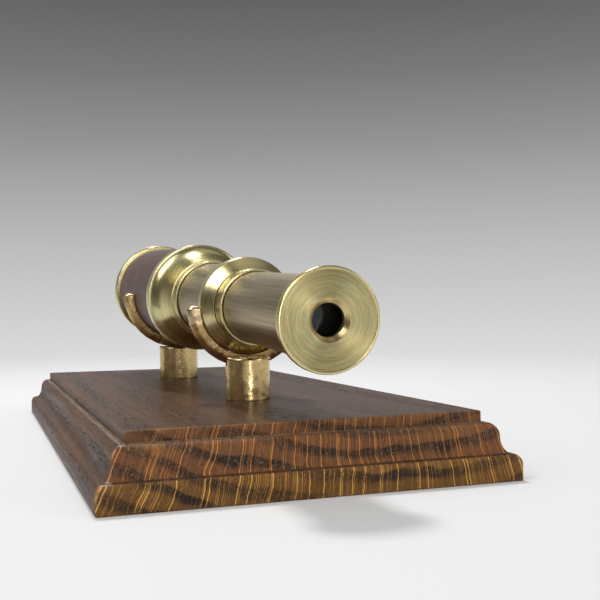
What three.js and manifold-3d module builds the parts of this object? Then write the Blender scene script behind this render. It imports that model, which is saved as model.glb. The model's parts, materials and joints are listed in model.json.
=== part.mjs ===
// A direct-vision spectroscope of two draws, lying in two half-ring cradles on a moulded oak plinth.
// Millimetres, +Z up. The origin is the middle of the plinth's underside, +Y runs along the plinth away
// from the eye end, and +X is to the right of someone looking into the eyepiece.
import * as THREE from "three";
import { mergeVertices } from "three/addons/utils/BufferGeometryUtils.js";
import Module from "manifold-3d";

// Fits, shared by all the pieces
const SEAT_GAP = 0.3; // between pieces that seat on each other
const FIT_GAP = 0.1; // radial, between a threaded or pushed-in piece and its seat
const SLIDE_GAP = 0.1; // radial, between a draw and the bush that it slides in
const SHELL_STEPS = 36; // facets round a visible turned piece
const SMALL_STEPS = 24; // facets round a small or inner turned piece
const ARC_STEPS = 5; // facets on a quarter curve of a moulding

// Plinth
const PLINTH_WIDTH = 86;
const PLINTH_LENGTH = 184.4;
const PLINTH_HEIGHT = 14;
const BAND_HEIGHT = 3.3; // upright band at the foot
const SHOULDER = { inset: 1.5, rise: 2.1 }; // rounded edge over the band
const COVE = { inset: 1.8, rise: 3.5 }; // hollow of the moulding
const OVOLO = { inset: 2.2, rise: 2.75 }; // round of the moulding
const STEP_INSET = 0.6; // flat between the round and the top fillet

// Posts, their screws and cradles
const POST_SPACING = 79.2;
const POST_HEIGHT = 10;
const FRONT_POST_RADIUS = 5.4;
const REAR_POST_RADIUS = 6.05;
const SCREW_RADIUS = 2;
const SCREW_HEAD = { radius: 3.6, height: 2.6 };
const SCREW_GRIP = 6; // length of the screw inside the post
const WASHER = { radius: 4.6, thickness: 0.8 };
const COUNTERBORE_DEPTH = 5;
const CRADLE_WIDTH = 2.8;
const CRADLE_THICKNESS = 2.8;
const CRADLE_FLANK = 0.9; // upright side of the half-round bar
const FRONT_LET_IN = 2.25; // how deep each cradle sits in its post's top
const REAR_LET_IN = 0.2;

// Tubes, from the eye tube outwards
const TUBE_WALL = 0.8;
const EYE_TUBE_RADIUS = 8.35;
const EYE_BUSH_WALL = 0.57;
const BARREL_BUSH_WALL = 2.48;
const COVER_THICKNESS = 0.85;
const COVER_GAP = 0.05;

// Rims, as how far each stands out from its tube
const CAP_RIM = { proud: 1.9, thickness: 1.5 };
const MIDDLE_RIM = { proud: 1.83, thickness: 2.4 };
const BARREL_RIM = { proud: 1, thickness: 3.8 };
const END_RIM = { proud: 1.25, thickness: 3.3 };
const EDGE_BREAK = 0.25;

// Lengths along the axis
const RIM_OFFSET = 0.3; // the middle collar's rim behind the middle of its cradle
const EYE_DRAW_OUT = 44.6; // eye tube showing
const MIDDLE_DRAW_OUT = 31.4; // middle tube showing
const MIDDLE_NECK_LENGTH = 5.9;
const MIDDLE_SHOULDER_LENGTH = 2.4;
const NECK_GROOVE = { depth: 0.2, width: 0.3 };
const BARREL_NECK = { wall: 0.6, length: 3.6 };
const FLARE_LENGTH = 11.3;
const FLARE_ROOT = 0.35; // step from the neck to the foot of the flare
const BARREL_LENGTH = 56.6;
const SPIGOT_LENGTH = 4.5;
const BARREL_SPIGOT_LENGTH = 8;

// Eyepiece
const EYE_HOLE_RADIUS = 3.25;
const COUNTERSINK = 0.95;
const CAP_FACE_THICKNESS = 2;
const CAP_SPIGOT_LENGTH = 4;
const CAP_SPIGOT_WALL = 1.1;
const WINDOW_THICKNESS = 1.6;
const RETAINER_THICKNESS = 1.2;
const RETAINER_WIDTH = 1.4;

// Prism train
const PRISM_CELL_WALL = 0.6;
const PRISM_CLEARANCE = 0.3;
const PRISM_LEAN = THREE.MathUtils.degToRad(43); // of each cemented face from the upright
const PRISM_END_LENGTH = 2; // shorter side of each outer prism
const PRISM_TIP = 0.6; // flat on each prism's edge
const CELL_WINDOW = { width: 7, end: 4 };

// Collimator
const LENS_CELL_WALL = 0.9;
const LENS_CELL_LENGTH = 10;
const LENS_LIP = { width: 1, thickness: 1 };
const CROWN_LENS = { thickness: 3.2, bulge: 0.9 };
const FLINT_LENS = { thickness: 2.2, hollow: 0.9 };

// Inner rings
const STOP_RING_LENGTH = 2.4;
const MIDDLE_STOP_LENGTH = 4;
const BAFFLE = { radius: 5, thickness: 1.5 };

// Slit head
const SLIT_PLATE_THICKNESS = 1.8;
const SLIT_SPIGOT = { wall: 2, length: 4 };
const SLIT_RING = { proud: 0.1, width: 4.85 };
const RING_WEB = 1.9; // floor of the adjusting ring, which holds the spiral slot
const RING_RIM = 1.4;
const RUN_GAP = 0.15; // radial, between the adjusting ring and its hub
const JAW_THICKNESS = 1.2;
const JAW_HEIGHT = 8.4;
const JAW_BEVEL = 0.8;
const SLIT_WIDTH = 0.2;
const SLIT_BORE = 4;
const JAW_TRAVEL = 0.8;
const RING_TURN = Math.PI / 2;
const PIN = { radius: 0.6, clearance: 0.25, from_hub: 1.6 };
const SLOT_STEPS = 16;
const BEZEL_THICKNESS = 2;
const BEZEL_LIP = 0.7;
const BEZEL_APERTURE = 4.2;
const SLIT_WINDOW = { radius: 5.2, thickness: 0.95 };
const SMALL_SCREW = { radius: 0.7, head: 1.3, head_height: 0.8, length: 2.4 };
const SMALL_SCREW_SLOT = { width: 0.3, depth: 0.3 };

// Radii that follow
const eyeTubeInner = EYE_TUBE_RADIUS - TUBE_WALL;
const eyeBore = EYE_TUBE_RADIUS + SLIDE_GAP;
const middleSpigot = eyeBore + EYE_BUSH_WALL;
const middleInner = middleSpigot + FIT_GAP;
const middleOuter = middleInner + TUBE_WALL;
const middleBore = middleOuter + SLIDE_GAP;
const barrelSpigot = middleBore + BARREL_BUSH_WALL;
const barrelInner = barrelSpigot + FIT_GAP;
const barrelOuter = barrelInner + TUBE_WALL;
const coverInner = barrelOuter + COVER_GAP;
const coverOuter = coverInner + COVER_THICKNESS;
const capRadius = EYE_TUBE_RADIUS + CAP_RIM.proud;
const middleRimRadius = middleOuter + MIDDLE_RIM.proud;
const middleNeckRadius = eyeBore + EYE_BUSH_WALL + FIT_GAP / 2;
const barrelRimRadius = coverOuter + BARREL_RIM.proud;
const endRimRadius = coverOuter + END_RIM.proud;
const frontCradleInner = middleRimRadius + SEAT_GAP;
const rearCradleInner = coverOuter + SEAT_GAP;
const frontCradleOuter = frontCradleInner + CRADLE_THICKNESS;
const rearCradleOuter = rearCradleInner + CRADLE_THICKNESS;

// Heights that follow: the axis runs through the middles of both cradles, so it rises to the rear
const postTop = PLINTH_HEIGHT + POST_HEIGHT;
const frontAxisHeight = postTop + frontCradleOuter - FRONT_LET_IN;
const rearAxisHeight = postTop + rearCradleOuter - REAR_LET_IN;
const tilt = Math.atan2(rearAxisHeight - frontAxisHeight, POST_SPACING);
const rearCradleAt = POST_SPACING / Math.cos(tilt);

// Stations along the axis, measured from the middle of the front cradle
const middleRimFront = RIM_OFFSET - MIDDLE_RIM.thickness / 2;
const middleRimBack = middleRimFront + MIDDLE_RIM.thickness;
const middleShoulderFront = middleRimFront - MIDDLE_SHOULDER_LENGTH;
const middleNeckFront = middleShoulderFront - MIDDLE_NECK_LENGTH;
const middleSpigotEnd = middleRimBack + SPIGOT_LENGTH;
const capBack = middleNeckFront - EYE_DRAW_OUT;
const capFace = capBack - CAP_RIM.thickness;
const eyeTubeFront = capBack + SEAT_GAP;
const capRecess = capFace + CAP_FACE_THICKNESS;
const capSpigotEnd = capBack + CAP_SPIGOT_LENGTH;
const eyeStopFront = middleSpigotEnd + SEAT_GAP;
const eyeStopBack = eyeStopFront + STOP_RING_LENGTH;
const barrelNeckFront = middleRimBack + MIDDLE_DRAW_OUT;
const flareFront = barrelNeckFront + BARREL_NECK.length;
const barrelRimFront = flareFront + FLARE_LENGTH;
const barrelRimBack = barrelRimFront + BARREL_RIM.thickness;
const barrelSpigotEnd = barrelRimBack + BARREL_SPIGOT_LENGTH;
const endRimFront = barrelRimBack + BARREL_LENGTH;
const endRimBack = endRimFront + END_RIM.thickness;
const middleTubeFront = middleRimBack + SEAT_GAP;
const middleTubeEnd = barrelSpigotEnd + MIDDLE_STOP_LENGTH + 2 * SEAT_GAP;
const slitPlateFront = endRimBack + SEAT_GAP;
const slitPlateBack = slitPlateFront + SLIT_PLATE_THICKNESS;
const slitRingFront = slitPlateBack + SEAT_GAP;
const ringFloor = slitRingFront + RING_WEB;
const slitRingBack = ringFloor + JAW_THICKNESS + FIT_GAP + SMALL_SCREW.head_height;
const hubEnd = slitRingBack + SEAT_GAP;
const slitRingRadius = coverOuter + SLIT_RING.proud;
const slitRingBore = slitRingRadius - SLIT_RING.width;
const hubRadius = slitRingBore - RUN_GAP;
const jawFront = ringFloor + SEAT_GAP;
const pinRadius = hubRadius + PIN.from_hub;
const bezelFront = hubEnd + SEAT_GAP;
const bezelBack = bezelFront + BEZEL_THICKNESS;
const bezelScrewHeight = (JAW_HEIGHT / 2 + SEAT_GAP + hubRadius) / 2;

// Prism train, and the eye tube's inner end: it reaches past the stop ring and takes the collimator's cell
const prismCellOuter = eyeTubeInner - SEAT_GAP;
const prismCellInner = prismCellOuter - PRISM_CELL_WALL;
const prismSide = Math.SQRT2 * (prismCellInner - PRISM_CLEARANCE);
const prismRun = prismSide * Math.tan(PRISM_LEAN);
const prismTrainLength = 2 * PRISM_END_LENGTH + 4 * prismRun + 3 * PRISM_TIP + 4 * SEAT_GAP;
const prismTrainFront = capSpigotEnd + SEAT_GAP + RETAINER_THICKNESS;
const prismCellFront = prismTrainFront - SEAT_GAP;
const prismCellEnd = prismTrainFront + prismTrainLength + SEAT_GAP;
const eyeTubeEnd = Math.max(eyeStopBack, prismCellEnd + SEAT_GAP + LENS_CELL_LENGTH);

const wasm = await Module();
wasm.setup();

// Finishes
const finishes = {
  oak: { color: 0x5a3a24, roughness: 0.45, metalness: 0 },
  polished_brass: { color: 0xc9a755, roughness: 0.28, metalness: 1 },
  bronzed_brass: { color: 0x857660, roughness: 0.35, metalness: 1 },
  cast_brass: { color: 0xb8904e, roughness: 0.38, metalness: 1 },
  brazed_bar: { color: 0x9a7444, roughness: 0.45, metalness: 1 },
  leather: { color: 0x3d2622, roughness: 0.5, metalness: 0 },
  steel: { color: 0x8c8e90, roughness: 0.35, metalness: 1 },
  blackened: { color: 0x161514, roughness: 0.7, metalness: 0.4 },
  crown_glass: { color: 0xdde8ea, roughness: 0.02, metalness: 0, transparent: true, opacity: 0.35 },
  flint_glass: { color: 0xe8e2c8, roughness: 0.02, metalness: 0, transparent: true, opacity: 0.35 },
  cork: { color: 0x9c7448, roughness: 0.9, metalness: 0 },
};

function piece(name, geometry, finish) {
  const mesh = new THREE.Mesh(geometry, new THREE.MeshStandardMaterial(finishes[finish]));
  mesh.name = name;
  return mesh;
}

// Joins and cuts
function toSolid(geometry) {
  const bare = geometry.clone();
  bare.deleteAttribute("normal");
  bare.deleteAttribute("uv");
  const merged = mergeVertices(bare, 1e-4);
  const vertProperties = merged.attributes.position.array;
  const triVerts = new Uint32Array(merged.index.array);
  return new wasm.Manifold(new wasm.Mesh({ numProp: 3, vertProperties, triVerts }));
}

function toGeometry(solid) {
  const mesh = solid.getMesh();
  const geometry = new THREE.BufferGeometry();
  geometry.setAttribute("position", new THREE.BufferAttribute(mesh.vertProperties, 3));
  geometry.setIndex(new THREE.BufferAttribute(mesh.triVerts, 1));
  geometry.computeVertexNormals();
  return geometry;
}

function cut(geometry, ...cutters) {
  let solid = toSolid(geometry);
  for (const cutter of cutters) solid = solid.subtract(toSolid(cutter));
  return toGeometry(solid);
}

function join(...geometries) {
  let solid = toSolid(geometries[0]);
  for (const other of geometries.slice(1)) solid = solid.add(toSolid(other));
  return toGeometry(solid);
}

function common(geometry, other) {
  return toGeometry(toSolid(geometry).intersect(toSolid(other)));
}

// A profile of [radius, station] points turned about the axis. A ring's profile is closed here.
function turned(profile, steps = SHELL_STEPS) {
  const points = profile.map(([radius, station]) => new THREE.Vector2(radius, station));
  if (THREE.ShapeUtils.area(points) < 0) points.reverse();
  const onAxis = points[0].x === 0;
  if (!onAxis) points.push(points[0].clone());
  return new THREE.LatheGeometry(points, steps);
}

function tube(inner, outer, from, to, steps) {
  return turned([[inner, from], [outer, from], [outer, to], [inner, to]], steps);
}

function disc(radius, from, to, steps) {
  return turned([[0, from], [radius, from], [radius, to], [0, to]], steps);
}

// A box given by the middle and the size of each side
function block(size, middle) {
  return new THREE.BoxGeometry(...size).translate(...middle);
}

function uprightCylinder(radius, from, to, steps) {
  const height = to - from;
  return new THREE.CylinderGeometry(radius, radius, height, steps)
    .rotateX(Math.PI / 2)
    .translate(0, 0, (from + to) / 2);
}

// Points on a quarter of an ellipse, from one quarter angle to the next, without the first point
function quarter(centre, halfSize, fromAngle, toAngle, steps = ARC_STEPS) {
  const points = [];
  for (let i = 1; i <= steps; i++) {
    const angle = fromAngle + ((toAngle - fromAngle) * i) / steps;
    points.push([centre[0] + halfSize[0] * Math.cos(angle), centre[1] + halfSize[1] * Math.sin(angle)]);
  }
  return points;
}

// Plinth: one moulding profile on all four sides, mitred at the corners
function mouldingProfile() {
  const shoulderTop = BAND_HEIGHT + SHOULDER.rise;
  const coveTop = shoulderTop + COVE.rise;
  const ovoloTop = coveTop + OVOLO.rise;
  const coveInset = SHOULDER.inset + COVE.inset;
  const ovoloInset = coveInset + OVOLO.inset;
  const half = Math.PI / 2;
  return [
    [0, 0],
    [0, BAND_HEIGHT],
    ...quarter([SHOULDER.inset, BAND_HEIGHT], [SHOULDER.inset, SHOULDER.rise], 2 * half, half),
    ...quarter([SHOULDER.inset, coveTop], [COVE.inset, COVE.rise], -half, 0),
    ...quarter([ovoloInset, coveTop], [OVOLO.inset, OVOLO.rise], 2 * half, half),
    [ovoloInset + STEP_INSET, ovoloTop],
    [ovoloInset + STEP_INSET, PLINTH_HEIGHT],
  ];
}

function mouldedBar(width, length) {
  const side = mouldingProfile();
  const left = side.map(([inset, height]) => new THREE.Vector2(inset - width / 2, height));
  const right = side.map(([inset, height]) => new THREE.Vector2(width / 2 - inset, height)).reverse();
  const bar = new THREE.ExtrudeGeometry(new THREE.Shape([...left, ...right]), {
    depth: length,
    bevelEnabled: false,
  });
  return bar.rotateX(Math.PI / 2).translate(0, length / 2, 0);
}

function plinth() {
  const along = mouldedBar(PLINTH_WIDTH, PLINTH_LENGTH);
  const across = mouldedBar(PLINTH_LENGTH, PLINTH_WIDTH).rotateZ(Math.PI / 2);
  const holes = [-1, 1].flatMap((end) => [
    uprightCylinder(SCREW_RADIUS + SEAT_GAP, -1, PLINTH_HEIGHT + 1, SMALL_STEPS),
    uprightCylinder(WASHER.radius + SEAT_GAP, -1, COUNTERBORE_DEPTH, SMALL_STEPS),
  ].map((hole) => hole.translate(0, (end * POST_SPACING) / 2, 0)));
  return piece("plinth", cut(common(along, across), ...holes), "oak");
}

// Where the instrument lies in the part: its own +Y runs along the axis to the rear
const instrumentPlace = new THREE.Matrix4()
  .makeRotationX(tilt)
  .setPosition(0, -POST_SPACING / 2, frontAxisHeight);

// Post: its top is notched where the cradle crosses it, and its foot is tapped for the screw
function post(name, end, radius, cradleOuter, cradleAt) {
  const y = (end * POST_SPACING) / 2;
  const body = uprightCylinder(radius, PLINTH_HEIGHT, postTop, SHELL_STEPS).translate(0, y, 0);
  const halfNotch = CRADLE_WIDTH / 2 + SEAT_GAP;
  const notch = disc(cradleOuter + SEAT_GAP, cradleAt - halfNotch, cradleAt + halfNotch, 2 * SHELL_STEPS);
  notch.applyMatrix4(instrumentPlace);
  const tapped = uprightCylinder(
    SCREW_RADIUS + FIT_GAP,
    PLINTH_HEIGHT - 1,
    PLINTH_HEIGHT + SCREW_GRIP + SEAT_GAP,
    SMALL_STEPS,
  ).translate(0, y, 0);
  return piece(name, cut(body, notch, tapped), "cast_brass");
}

function postScrew(name, end) {
  const headTop = COUNTERBORE_DEPTH - WASHER.thickness;
  const headBottom = headTop - SCREW_HEAD.height;
  const shank = uprightCylinder(SCREW_RADIUS, headTop - 1, PLINTH_HEIGHT + SCREW_GRIP, SMALL_STEPS);
  const head = uprightCylinder(SCREW_HEAD.radius, headBottom, headTop, SMALL_STEPS);
  const driverSlot = block([SCREW_HEAD.radius * 3, 1, 1.2], [0, 0, headBottom]);
  const screw = cut(join(shank, head), driverSlot).translate(0, (end * POST_SPACING) / 2, 0);
  return piece(name, screw, "steel");
}

function screwWasher(name, end) {
  const ring = tube(
    SCREW_RADIUS + SEAT_GAP,
    WASHER.radius,
    COUNTERBORE_DEPTH - WASHER.thickness,
    COUNTERBORE_DEPTH,
    SMALL_STEPS,
  );
  return piece(name, ring.rotateX(Math.PI / 2), "steel");
}

// Cradle: the lower half of a ring of half-round bar, flat side inwards
function cradle(name, inner, at) {
  const half = CRADLE_WIDTH / 2;
  const crown = [CRADLE_THICKNESS - CRADLE_FLANK, half];
  const flank = inner + CRADLE_FLANK;
  const ring = turned([
    [inner, at - half],
    [flank, at - half],
    ...quarter([flank, at], crown, -Math.PI / 2, 0, 3),
    ...quarter([flank, at], crown, 0, Math.PI / 2, 3),
    [inner, at + half],
  ], 2 * SHELL_STEPS);
  const reach = inner + 2 * CRADLE_THICKNESS;
  const lowerHalf = block([2 * reach, 2 * CRADLE_WIDTH, reach], [0, at, -reach / 2]);
  return piece(name, common(ring, lowerHalf), "brazed_bar");
}

// Eye draw
function eyeCap() {
  const neck = eyeTubeInner - FIT_GAP;
  const recess = neck - CAP_SPIGOT_WALL;
  const rimFront = capFace + EDGE_BREAK;
  const rimBack = capBack - EDGE_BREAK;
  return piece("eye_cap", turned([
    [EYE_HOLE_RADIUS + COUNTERSINK, capFace],
    [capRadius - EDGE_BREAK, capFace],
    [capRadius, rimFront],
    [capRadius, rimBack],
    [capRadius - EDGE_BREAK, capBack],
    [neck, capBack],
    [neck, capSpigotEnd],
    [recess, capSpigotEnd],
    [recess, capRecess],
    [EYE_HOLE_RADIUS, capRecess],
    [EYE_HOLE_RADIUS, capFace + COUNTERSINK],
  ]), "polished_brass");
}

function eyePieces() {
  const seat = eyeTubeInner - FIT_GAP - CAP_SPIGOT_WALL - FIT_GAP;
  const windowBack = capRecess + SEAT_GAP + WINDOW_THICKNESS;
  const ringFront = windowBack + SEAT_GAP;
  return [
    piece("eye_tube", tube(eyeTubeInner, EYE_TUBE_RADIUS, eyeTubeFront, eyeTubeEnd), "bronzed_brass"),
    eyeCap(),
    piece("eye_window", disc(seat, capRecess + SEAT_GAP, windowBack, SMALL_STEPS), "crown_glass"),
    piece("eye_window_retainer",
      tube(seat - RETAINER_WIDTH, seat, ringFront, ringFront + RETAINER_THICKNESS, SMALL_STEPS), "blackened"),
    piece("eye_tube_stop_ring",
      tube(EYE_TUBE_RADIUS + COVER_GAP, middleInner - FIT_GAP, eyeStopFront, eyeStopBack), "polished_brass"),
  ];
}

// Three crown and two flint prisms in a row, held between cork strips in a slotted cell.
// Each prism is given by where its two faces meet the bottom and the top of the train
function prismTrain() {
  const half = prismSide / 2;
  const names = ["crown_1", "flint_1", "crown_2", "flint_2", "crown_3"];
  const prisms = [];
  let low = prismTrainFront;
  let high = prismTrainFront;
  names.forEach((name, index) => {
    const outer = index === 0 || index === names.length - 1;
    const wideBelow = index % 2 === 1;
    const short = outer ? PRISM_END_LENGTH : PRISM_TIP;
    const long = short + (outer ? prismRun : 2 * prismRun);
    const lowEnd = low + (wideBelow ? long : short);
    const highEnd = high + (wideBelow ? short : long);
    const outline = [[low, -half], [lowEnd, -half], [highEnd, half], [high, half]];
    const shape = new THREE.Shape(outline.map(([station, height]) => new THREE.Vector2(station, height)));
    const glass = new THREE.ExtrudeGeometry(shape, { depth: prismSide, bevelEnabled: false })
      .translate(0, 0, -half)
      .applyMatrix4(new THREE.Matrix4().makeBasis(
        new THREE.Vector3(0, 1, 0), new THREE.Vector3(0, 0, 1), new THREE.Vector3(1, 0, 0)));
    prisms.push(piece("prism_" + name, glass, name.startsWith("crown") ? "crown_glass" : "flint_glass"));
    low = lowEnd + SEAT_GAP;
    high = highEnd + SEAT_GAP;
  });
  return prisms;
}

function prismCell() {
  const cell = tube(prismCellInner, prismCellOuter, prismCellFront, prismCellEnd);
  const length = prismCellEnd - prismCellFront - 2 * CELL_WINDOW.end;
  const middle = (prismCellFront + prismCellEnd) / 2;
  const opening = block([2 * prismCellOuter, length, CELL_WINDOW.width], [prismCellOuter, middle, 0]);
  return piece("prism_cell", cut(cell, opening), "blackened");
}

function prismPacking(name, side) {
  const floor = prismSide / 2 + FIT_GAP;
  const radius = prismCellInner - FIT_GAP;
  const reach = Math.acos(floor / radius);
  const shape = new THREE.Shape().absarc(0, 0, radius, Math.PI / 2 - reach, Math.PI / 2 + reach);
  const strip = new THREE.ExtrudeGeometry(shape, {
    depth: prismTrainLength,
    bevelEnabled: false,
    curveSegments: 8,
  });
  strip.rotateX(Math.PI / 2).translate(0, prismTrainFront + prismTrainLength, 0);
  if (side > 0) strip.rotateY(Math.PI);
  return piece(name, strip, "cork");
}

// Collimator: a cemented pair in a cell at the inner end of the eye tube
function lens(name, radius, front, frontBulge, back, backBulge, finish) {
  const steps = 4;
  const points = [];
  for (let i = 0; i <= steps; i++) {
    const share = i / steps;
    points.push([radius * share, front - frontBulge * (1 - share * share)]);
  }
  for (let i = steps; i >= 0; i--) {
    const share = i / steps;
    points.push([radius * share, back + backBulge * (1 - share * share)]);
  }
  return piece(name, turned(points, SMALL_STEPS), finish);
}

function collimator() {
  const outer = eyeTubeInner - SEAT_GAP;
  const inner = outer - LENS_CELL_WALL;
  const from = eyeTubeEnd - LENS_CELL_LENGTH;
  const lip = from + LENS_LIP.thickness;
  const lensRadius = inner - FIT_GAP;
  const crownFront = lip + CROWN_LENS.bulge;
  const crownBack = crownFront + CROWN_LENS.thickness - 2 * CROWN_LENS.bulge;
  const flintFront = crownBack + SEAT_GAP;
  const flintBack = flintFront + FLINT_LENS.thickness;
  const ringFront = flintBack + SEAT_GAP;
  const cell = turned([
    [inner - LENS_LIP.width, from],
    [outer, from],
    [outer, eyeTubeEnd],
    [inner, eyeTubeEnd],
    [inner, lip],
    [inner - LENS_LIP.width, lip],
  ], SMALL_STEPS);
  return [
    piece("collimator_cell", cell, "blackened"),
    lens("collimator_crown_lens", lensRadius, crownFront, CROWN_LENS.bulge, crownBack, CROWN_LENS.bulge,
      "crown_glass"),
    lens("collimator_flint_lens", lensRadius, flintFront, -FLINT_LENS.hollow, flintBack, 0, "flint_glass"),
    piece("collimator_retainer",
      tube(lensRadius - RETAINER_WIDTH, lensRadius, ringFront, ringFront + RETAINER_THICKNESS, SMALL_STEPS),
      "blackened"),
  ];
}

// Middle draw
function middleCollar() {
  const grooveFront = middleShoulderFront - NECK_GROOVE.width;
  const grooveRadius = middleNeckRadius - NECK_GROOVE.depth;
  return piece("middle_collar", turned([
    [eyeBore, middleNeckFront],
    [middleNeckRadius - EDGE_BREAK, middleNeckFront],
    [middleNeckRadius, middleNeckFront + EDGE_BREAK],
    [middleNeckRadius, grooveFront],
    [grooveRadius, grooveFront],
    [grooveRadius, middleShoulderFront],
    [middleNeckRadius, middleShoulderFront],
    [middleRimRadius, middleRimFront],
    [middleRimRadius, middleRimBack - EDGE_BREAK],
    [middleRimRadius - EDGE_BREAK, middleRimBack],
    [middleSpigot, middleRimBack],
    [middleSpigot, middleSpigotEnd],
    [eyeBore, middleSpigotEnd],
  ]), "polished_brass");
}

function middlePieces() {
  const stopBack = middleTubeEnd - SEAT_GAP;
  const baffleFront = middleTubeEnd - 2 * BAFFLE.thickness;
  return [
    middleCollar(),
    piece("middle_tube", tube(middleInner, middleOuter, middleTubeFront, middleTubeEnd), "bronzed_brass"),
    piece("middle_tube_stop_ring",
      tube(middleOuter + FIT_GAP, barrelInner - SEAT_GAP, stopBack - MIDDLE_STOP_LENGTH, stopBack),
      "polished_brass"),
    piece("middle_baffle",
      tube(BAFFLE.radius, middleInner - FIT_GAP, baffleFront, baffleFront + BAFFLE.thickness, SMALL_STEPS),
      "blackened"),
  ];
}

// Barrel
function barrelCollar() {
  const neck = middleBore + BARREL_NECK.wall;
  const root = neck + FLARE_ROOT;
  const rise = barrelRimRadius - root;
  return piece("barrel_collar", turned([
    [middleBore, barrelNeckFront],
    [neck - EDGE_BREAK, barrelNeckFront],
    [neck, barrelNeckFront + EDGE_BREAK],
    [neck, flareFront],
    [root, flareFront],
    ...quarter([barrelRimRadius, flareFront], [rise, FLARE_LENGTH], Math.PI, Math.PI / 2, 8),
    [barrelRimRadius, barrelRimBack - EDGE_BREAK],
    [barrelRimRadius - EDGE_BREAK, barrelRimBack],
    [barrelSpigot, barrelRimBack],
    [barrelSpigot, barrelSpigotEnd],
    [middleBore, barrelSpigotEnd],
  ]), "polished_brass");
}

function endRing() {
  const spigotFront = endRimFront - BARREL_SPIGOT_LENGTH;
  const bore = slitRingBore - SLIT_SPIGOT.wall + FIT_GAP;
  return piece("end_ring", turned([
    [bore, spigotFront],
    [barrelSpigot, spigotFront],
    [barrelSpigot, endRimFront],
    [endRimRadius - EDGE_BREAK, endRimFront],
    [endRimRadius, endRimFront + EDGE_BREAK],
    [endRimRadius, endRimBack - EDGE_BREAK],
    [endRimRadius - EDGE_BREAK, endRimBack],
    [bore, endRimBack],
  ]), "polished_brass");
}

// Slit head: a plate with a hub, two jaws in a channel across the hub, and a ring whose spiral slot drives
// the moving jaw's pin
function smallScrew(name, x, z, headFront) {
  const shank = disc(SMALL_SCREW.radius, headFront - SMALL_SCREW.length, headFront + 0.2, 12);
  const head = disc(SMALL_SCREW.head, headFront, headFront + SMALL_SCREW.head_height, 12);
  const slotMiddle = headFront + SMALL_SCREW.head_height - SMALL_SCREW_SLOT.depth / 2;
  const slotDepth = SMALL_SCREW_SLOT.depth + 0.01;
  const driverSlot = block([3 * SMALL_SCREW.head, slotDepth, SMALL_SCREW_SLOT.width], [0, slotMiddle, 0]);
  return piece(name, cut(join(shank, head), driverSlot).translate(x, 0, z), "steel");
}

function screwHole(x, z, from, to) {
  return disc(SMALL_SCREW.radius + FIT_GAP, from, to, 12).translate(x, 0, z);
}

const jawEdge = SLIT_WIDTH / 2;
const fixedJawEnd = hubRadius - 2 * SEAT_GAP;
const jawBack = jawFront + JAW_THICKNESS;
const jawScrewX = -(fixedJawEnd + SLIT_BORE) / 2;
const jawScrewZ = JAW_HEIGHT / 4;

function slitPlate() {
  const spigot = slitRingBore - SLIT_SPIGOT.wall;
  const plate = turned([
    [SLIT_BORE, slitPlateFront - SLIT_SPIGOT.length],
    [spigot, slitPlateFront - SLIT_SPIGOT.length],
    [spigot, slitPlateFront],
    [slitRingRadius - EDGE_BREAK, slitPlateFront],
    [slitRingRadius - EDGE_BREAK, slitPlateBack],
    [hubRadius, slitPlateBack],
    [hubRadius, hubEnd],
    [SLIT_BORE, hubEnd],
  ]);
  const channelFloor = jawFront - FIT_GAP;
  const channel = block(
    [3 * hubRadius, hubEnd - channelFloor + 1, JAW_HEIGHT + 2 * SEAT_GAP],
    [0, (hubEnd + 1 + channelFloor) / 2, 0],
  );
  const bottom = channelFloor - SMALL_SCREW.length;
  const holes = [-1, 1].flatMap((side) => [
    screwHole(jawScrewX, side * jawScrewZ, bottom, hubEnd),
    screwHole(0, side * bezelScrewHeight, bottom, hubEnd + 1),
  ]);
  return piece("slit_plate", cut(plate, channel, ...holes), "polished_brass");
}

// A jaw's outline from its knife edge outwards, bevelled on the outer face
function jaw(side, edge, end) {
  const outline = [[edge, jawFront], [end, jawFront], [end, jawBack], [edge + JAW_BEVEL, jawBack]];
  const shape = new THREE.Shape(outline.map(([x, station]) => new THREE.Vector2(side * x, station)));
  return new THREE.ExtrudeGeometry(shape, { depth: JAW_HEIGHT, bevelEnabled: false })
    .translate(0, 0, -JAW_HEIGHT / 2);
}

function fixedJaw() {
  const holes = [-1, 1].map((side) => screwHole(jawScrewX, side * jawScrewZ, jawFront - 1, jawBack + 1));
  return piece("slit_fixed_jaw", cut(jaw(-1, jawEdge, fixedJawEnd), ...holes), "steel");
}

function movingJaw() {
  const plateEnd = hubRadius - JAW_TRAVEL - SEAT_GAP;
  const tongueEnd = pinRadius + 1.5 * PIN.radius;
  const tongueStart = plateEnd - 2 * PIN.radius;
  const tongue = block(
    [tongueEnd - tongueStart, JAW_THICKNESS, 4 * PIN.radius],
    [(tongueStart + tongueEnd) / 2, (jawFront + jawBack) / 2, 0],
  );
  const pin = disc(PIN.radius, slitRingFront + SEAT_GAP, jawBack - FIT_GAP, 12).translate(pinRadius, 0, 0);
  return piece("slit_moving_jaw", join(jaw(1, jawEdge, plateEnd), tongue, pin), "steel");
}

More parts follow.
